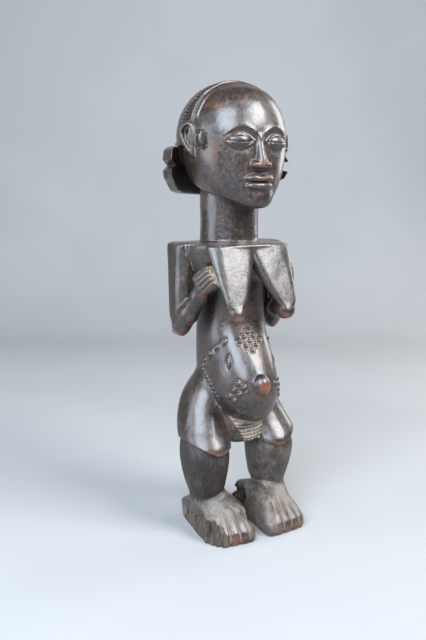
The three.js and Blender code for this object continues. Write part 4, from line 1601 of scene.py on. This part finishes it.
# The stage, in metres. Each light has its place, size, share of the main power and colour.
# The camera's place is in millimetres from the foot of the figure's neck axis.
LIGHTS = (
    ("main_light", (0.66, -1.08, 1.3), (0.8, 0.8), 0.88, (0.96, 0.98, 1.0)),
    ("side_light", (1.2, 0.2, 0.7), (0.4, 0.9), 0.15, (1.0, 1.0, 1.0)),
    ("rim_light", (-0.98, -0.85, 1.15), (1.25, 1.3), 1.3, (0.76, 0.87, 1.0)),
    ("edge_light", (-1.35, 0.3, 0.45), (0.8, 1.1), 0.3, (0.78, 0.88, 1.0)),
)
AIM_HEIGHT = 0.24
ROOM_COLOUR = (0.9, 0.93, 1.0, 1.0)
ROOM_LIGHT = 0.09
FLOOR_HALF = 2.6
FLOOR_FRONT = -1.6
FLOOR_BACK = 0.9
CURVE = 0.5
CURVE_STEPS = 12
WALL_TOP = 2.4
CAMERA_AT = (-342.5, -610.7, 338.5)
CAMERA_TURN = (79.9, 0.0, -28.0)
SENSOR = 36.0


class CARVING_OT_stage(bpy.types.Operator):
    """Sets out the floor, the soft lights and the camera"""

    bl_idname = "carving.stage"
    bl_label = "Set the stage"

    def execute(self, context):
        settings = context.scene.stage_settings
        floor = sweep("stage_floor", stage_material(settings.floor))
        context.scene.collection.objects.link(floor)
        for name, place, size, share, tint in LIGHTS:
            light(context, name, place, size, settings.key_power * share, tint)
        world = bpy.data.worlds.new("soft_room")
        world.use_nodes = True
        background = world.node_tree.nodes["Background"]
        background.inputs["Color"].default_value = ROOM_COLOUR
        background.inputs["Strength"].default_value = ROOM_LIGHT
        context.scene.world = world
        place_camera(context, settings.focal)
        context.scene.view_settings.view_transform = "Standard"
        return {"FINISHED"}


def sweep(name, material):
    """A floor that curves up into a back wall, turned square to the camera."""
    profile = [(FLOOR_FRONT, 0.0), (FLOOR_BACK, 0.0)]
    for i in range(1, CURVE_STEPS + 1):
        a = math.radians(90 * i / CURVE_STEPS)
        profile.append((FLOOR_BACK + CURVE * math.sin(a), CURVE - CURVE * math.cos(a)))
    profile.append((FLOOR_BACK + CURVE, WALL_TOP))
    turn = Matrix.Rotation(math.radians(CAMERA_TURN[2]), 3, "Z")
    verts = [turn @ Vector((side, deep, high)) for deep, high in profile
             for side in (-FLOOR_HALF, FLOOR_HALF)]
    faces = [(i, i + 1, i + 3, i + 2) for i in range(0, len(verts) - 2, 2)]
    mesh = bpy.data.meshes.new(name)
    mesh.from_pydata(verts, [], faces)
    mesh.polygons.foreach_set("use_smooth", np.ones(len(faces), bool))
    mesh.materials.append(material)
    return bpy.data.objects.new(name, mesh)


def light(context, name, place, size, power, tint):
    """A large soft light that faces the figure."""
    data = bpy.data.lights.new(name, "AREA")
    data.shape = "RECTANGLE"
    data.size, data.size_y = size
    data.energy, data.color = power, tint
    lamp = bpy.data.objects.new(name, data)
    lamp.location = place
    aim = Vector((0, 0, AIM_HEIGHT)) - Vector(place)
    lamp.rotation_euler = aim.to_track_quat("-Z", "Y").to_euler()
    context.scene.collection.objects.link(lamp)


def place_camera(context, focal):
    """The camera stands where the picture of the figure was taken from."""
    data = bpy.data.cameras.new("camera")
    data.sensor_width = SENSOR
    data.lens = focal / MM
    camera = bpy.data.objects.new("camera", data)
    low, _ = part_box(NODE)
    foot_of_axis = Vector((low.x + CHIGNON_REACH * MM, low.y - NAVEL_TIP * MM, 0))
    camera.location = Vector(CAMERA_AT) * MM + foot_of_axis
    camera.rotation_euler = [math.radians(a) for a in CAMERA_TURN]
    context.scene.collection.objects.link(camera)
    context.scene.camera = camera


class CARVING_PT_panel(bpy.types.Panel):
    """Lists the steps and their sizes and colours"""

    bl_idname = "CARVING_PT_panel"
    bl_label = "Carving"
    bl_space_type = "VIEW_3D"
    bl_region_type = "UI"
    bl_category = "Carving"

    def draw(self, context):
        scene = context.scene
        for operator, group in (
            (CARVING_OT_figure, scene.carving_settings),
            (None, scene.finish_settings),
            (CARVING_OT_stage, scene.stage_settings),
        ):
            box = self.layout.box()
            for key in group.__annotations__:
                box.prop(group, key)
            if operator:
                box.operator(operator.bl_idname)


CLASSES = (
    CarvingSettings, FinishSettings, StageSettings, CARVING_OT_figure, CARVING_OT_stage,
    CARVING_PT_panel,
)
GROUPS = {
    "carving_settings": CarvingSettings,
    "finish_settings": FinishSettings,
    "stage_settings": StageSettings,
}


def register():
    """Makes the settings, the operators and the panel known."""
    for made in CLASSES:
        bpy.utils.register_class(made)
    for name, group in GROUPS.items():
        setattr(bpy.types.Scene, name, bpy.props.PointerProperty(type=group))


def unregister():
    """Takes them away again, in reverse order."""
    for name in GROUPS:
        delattr(bpy.types.Scene, name)
    for made in reversed(CLASSES):
        bpy.utils.unregister_class(made)


def main():
    """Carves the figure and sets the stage."""
    register()
    bpy.ops.carving.figure()
    bpy.ops.carving.stage()


if __name__ == "__main__":
    main()
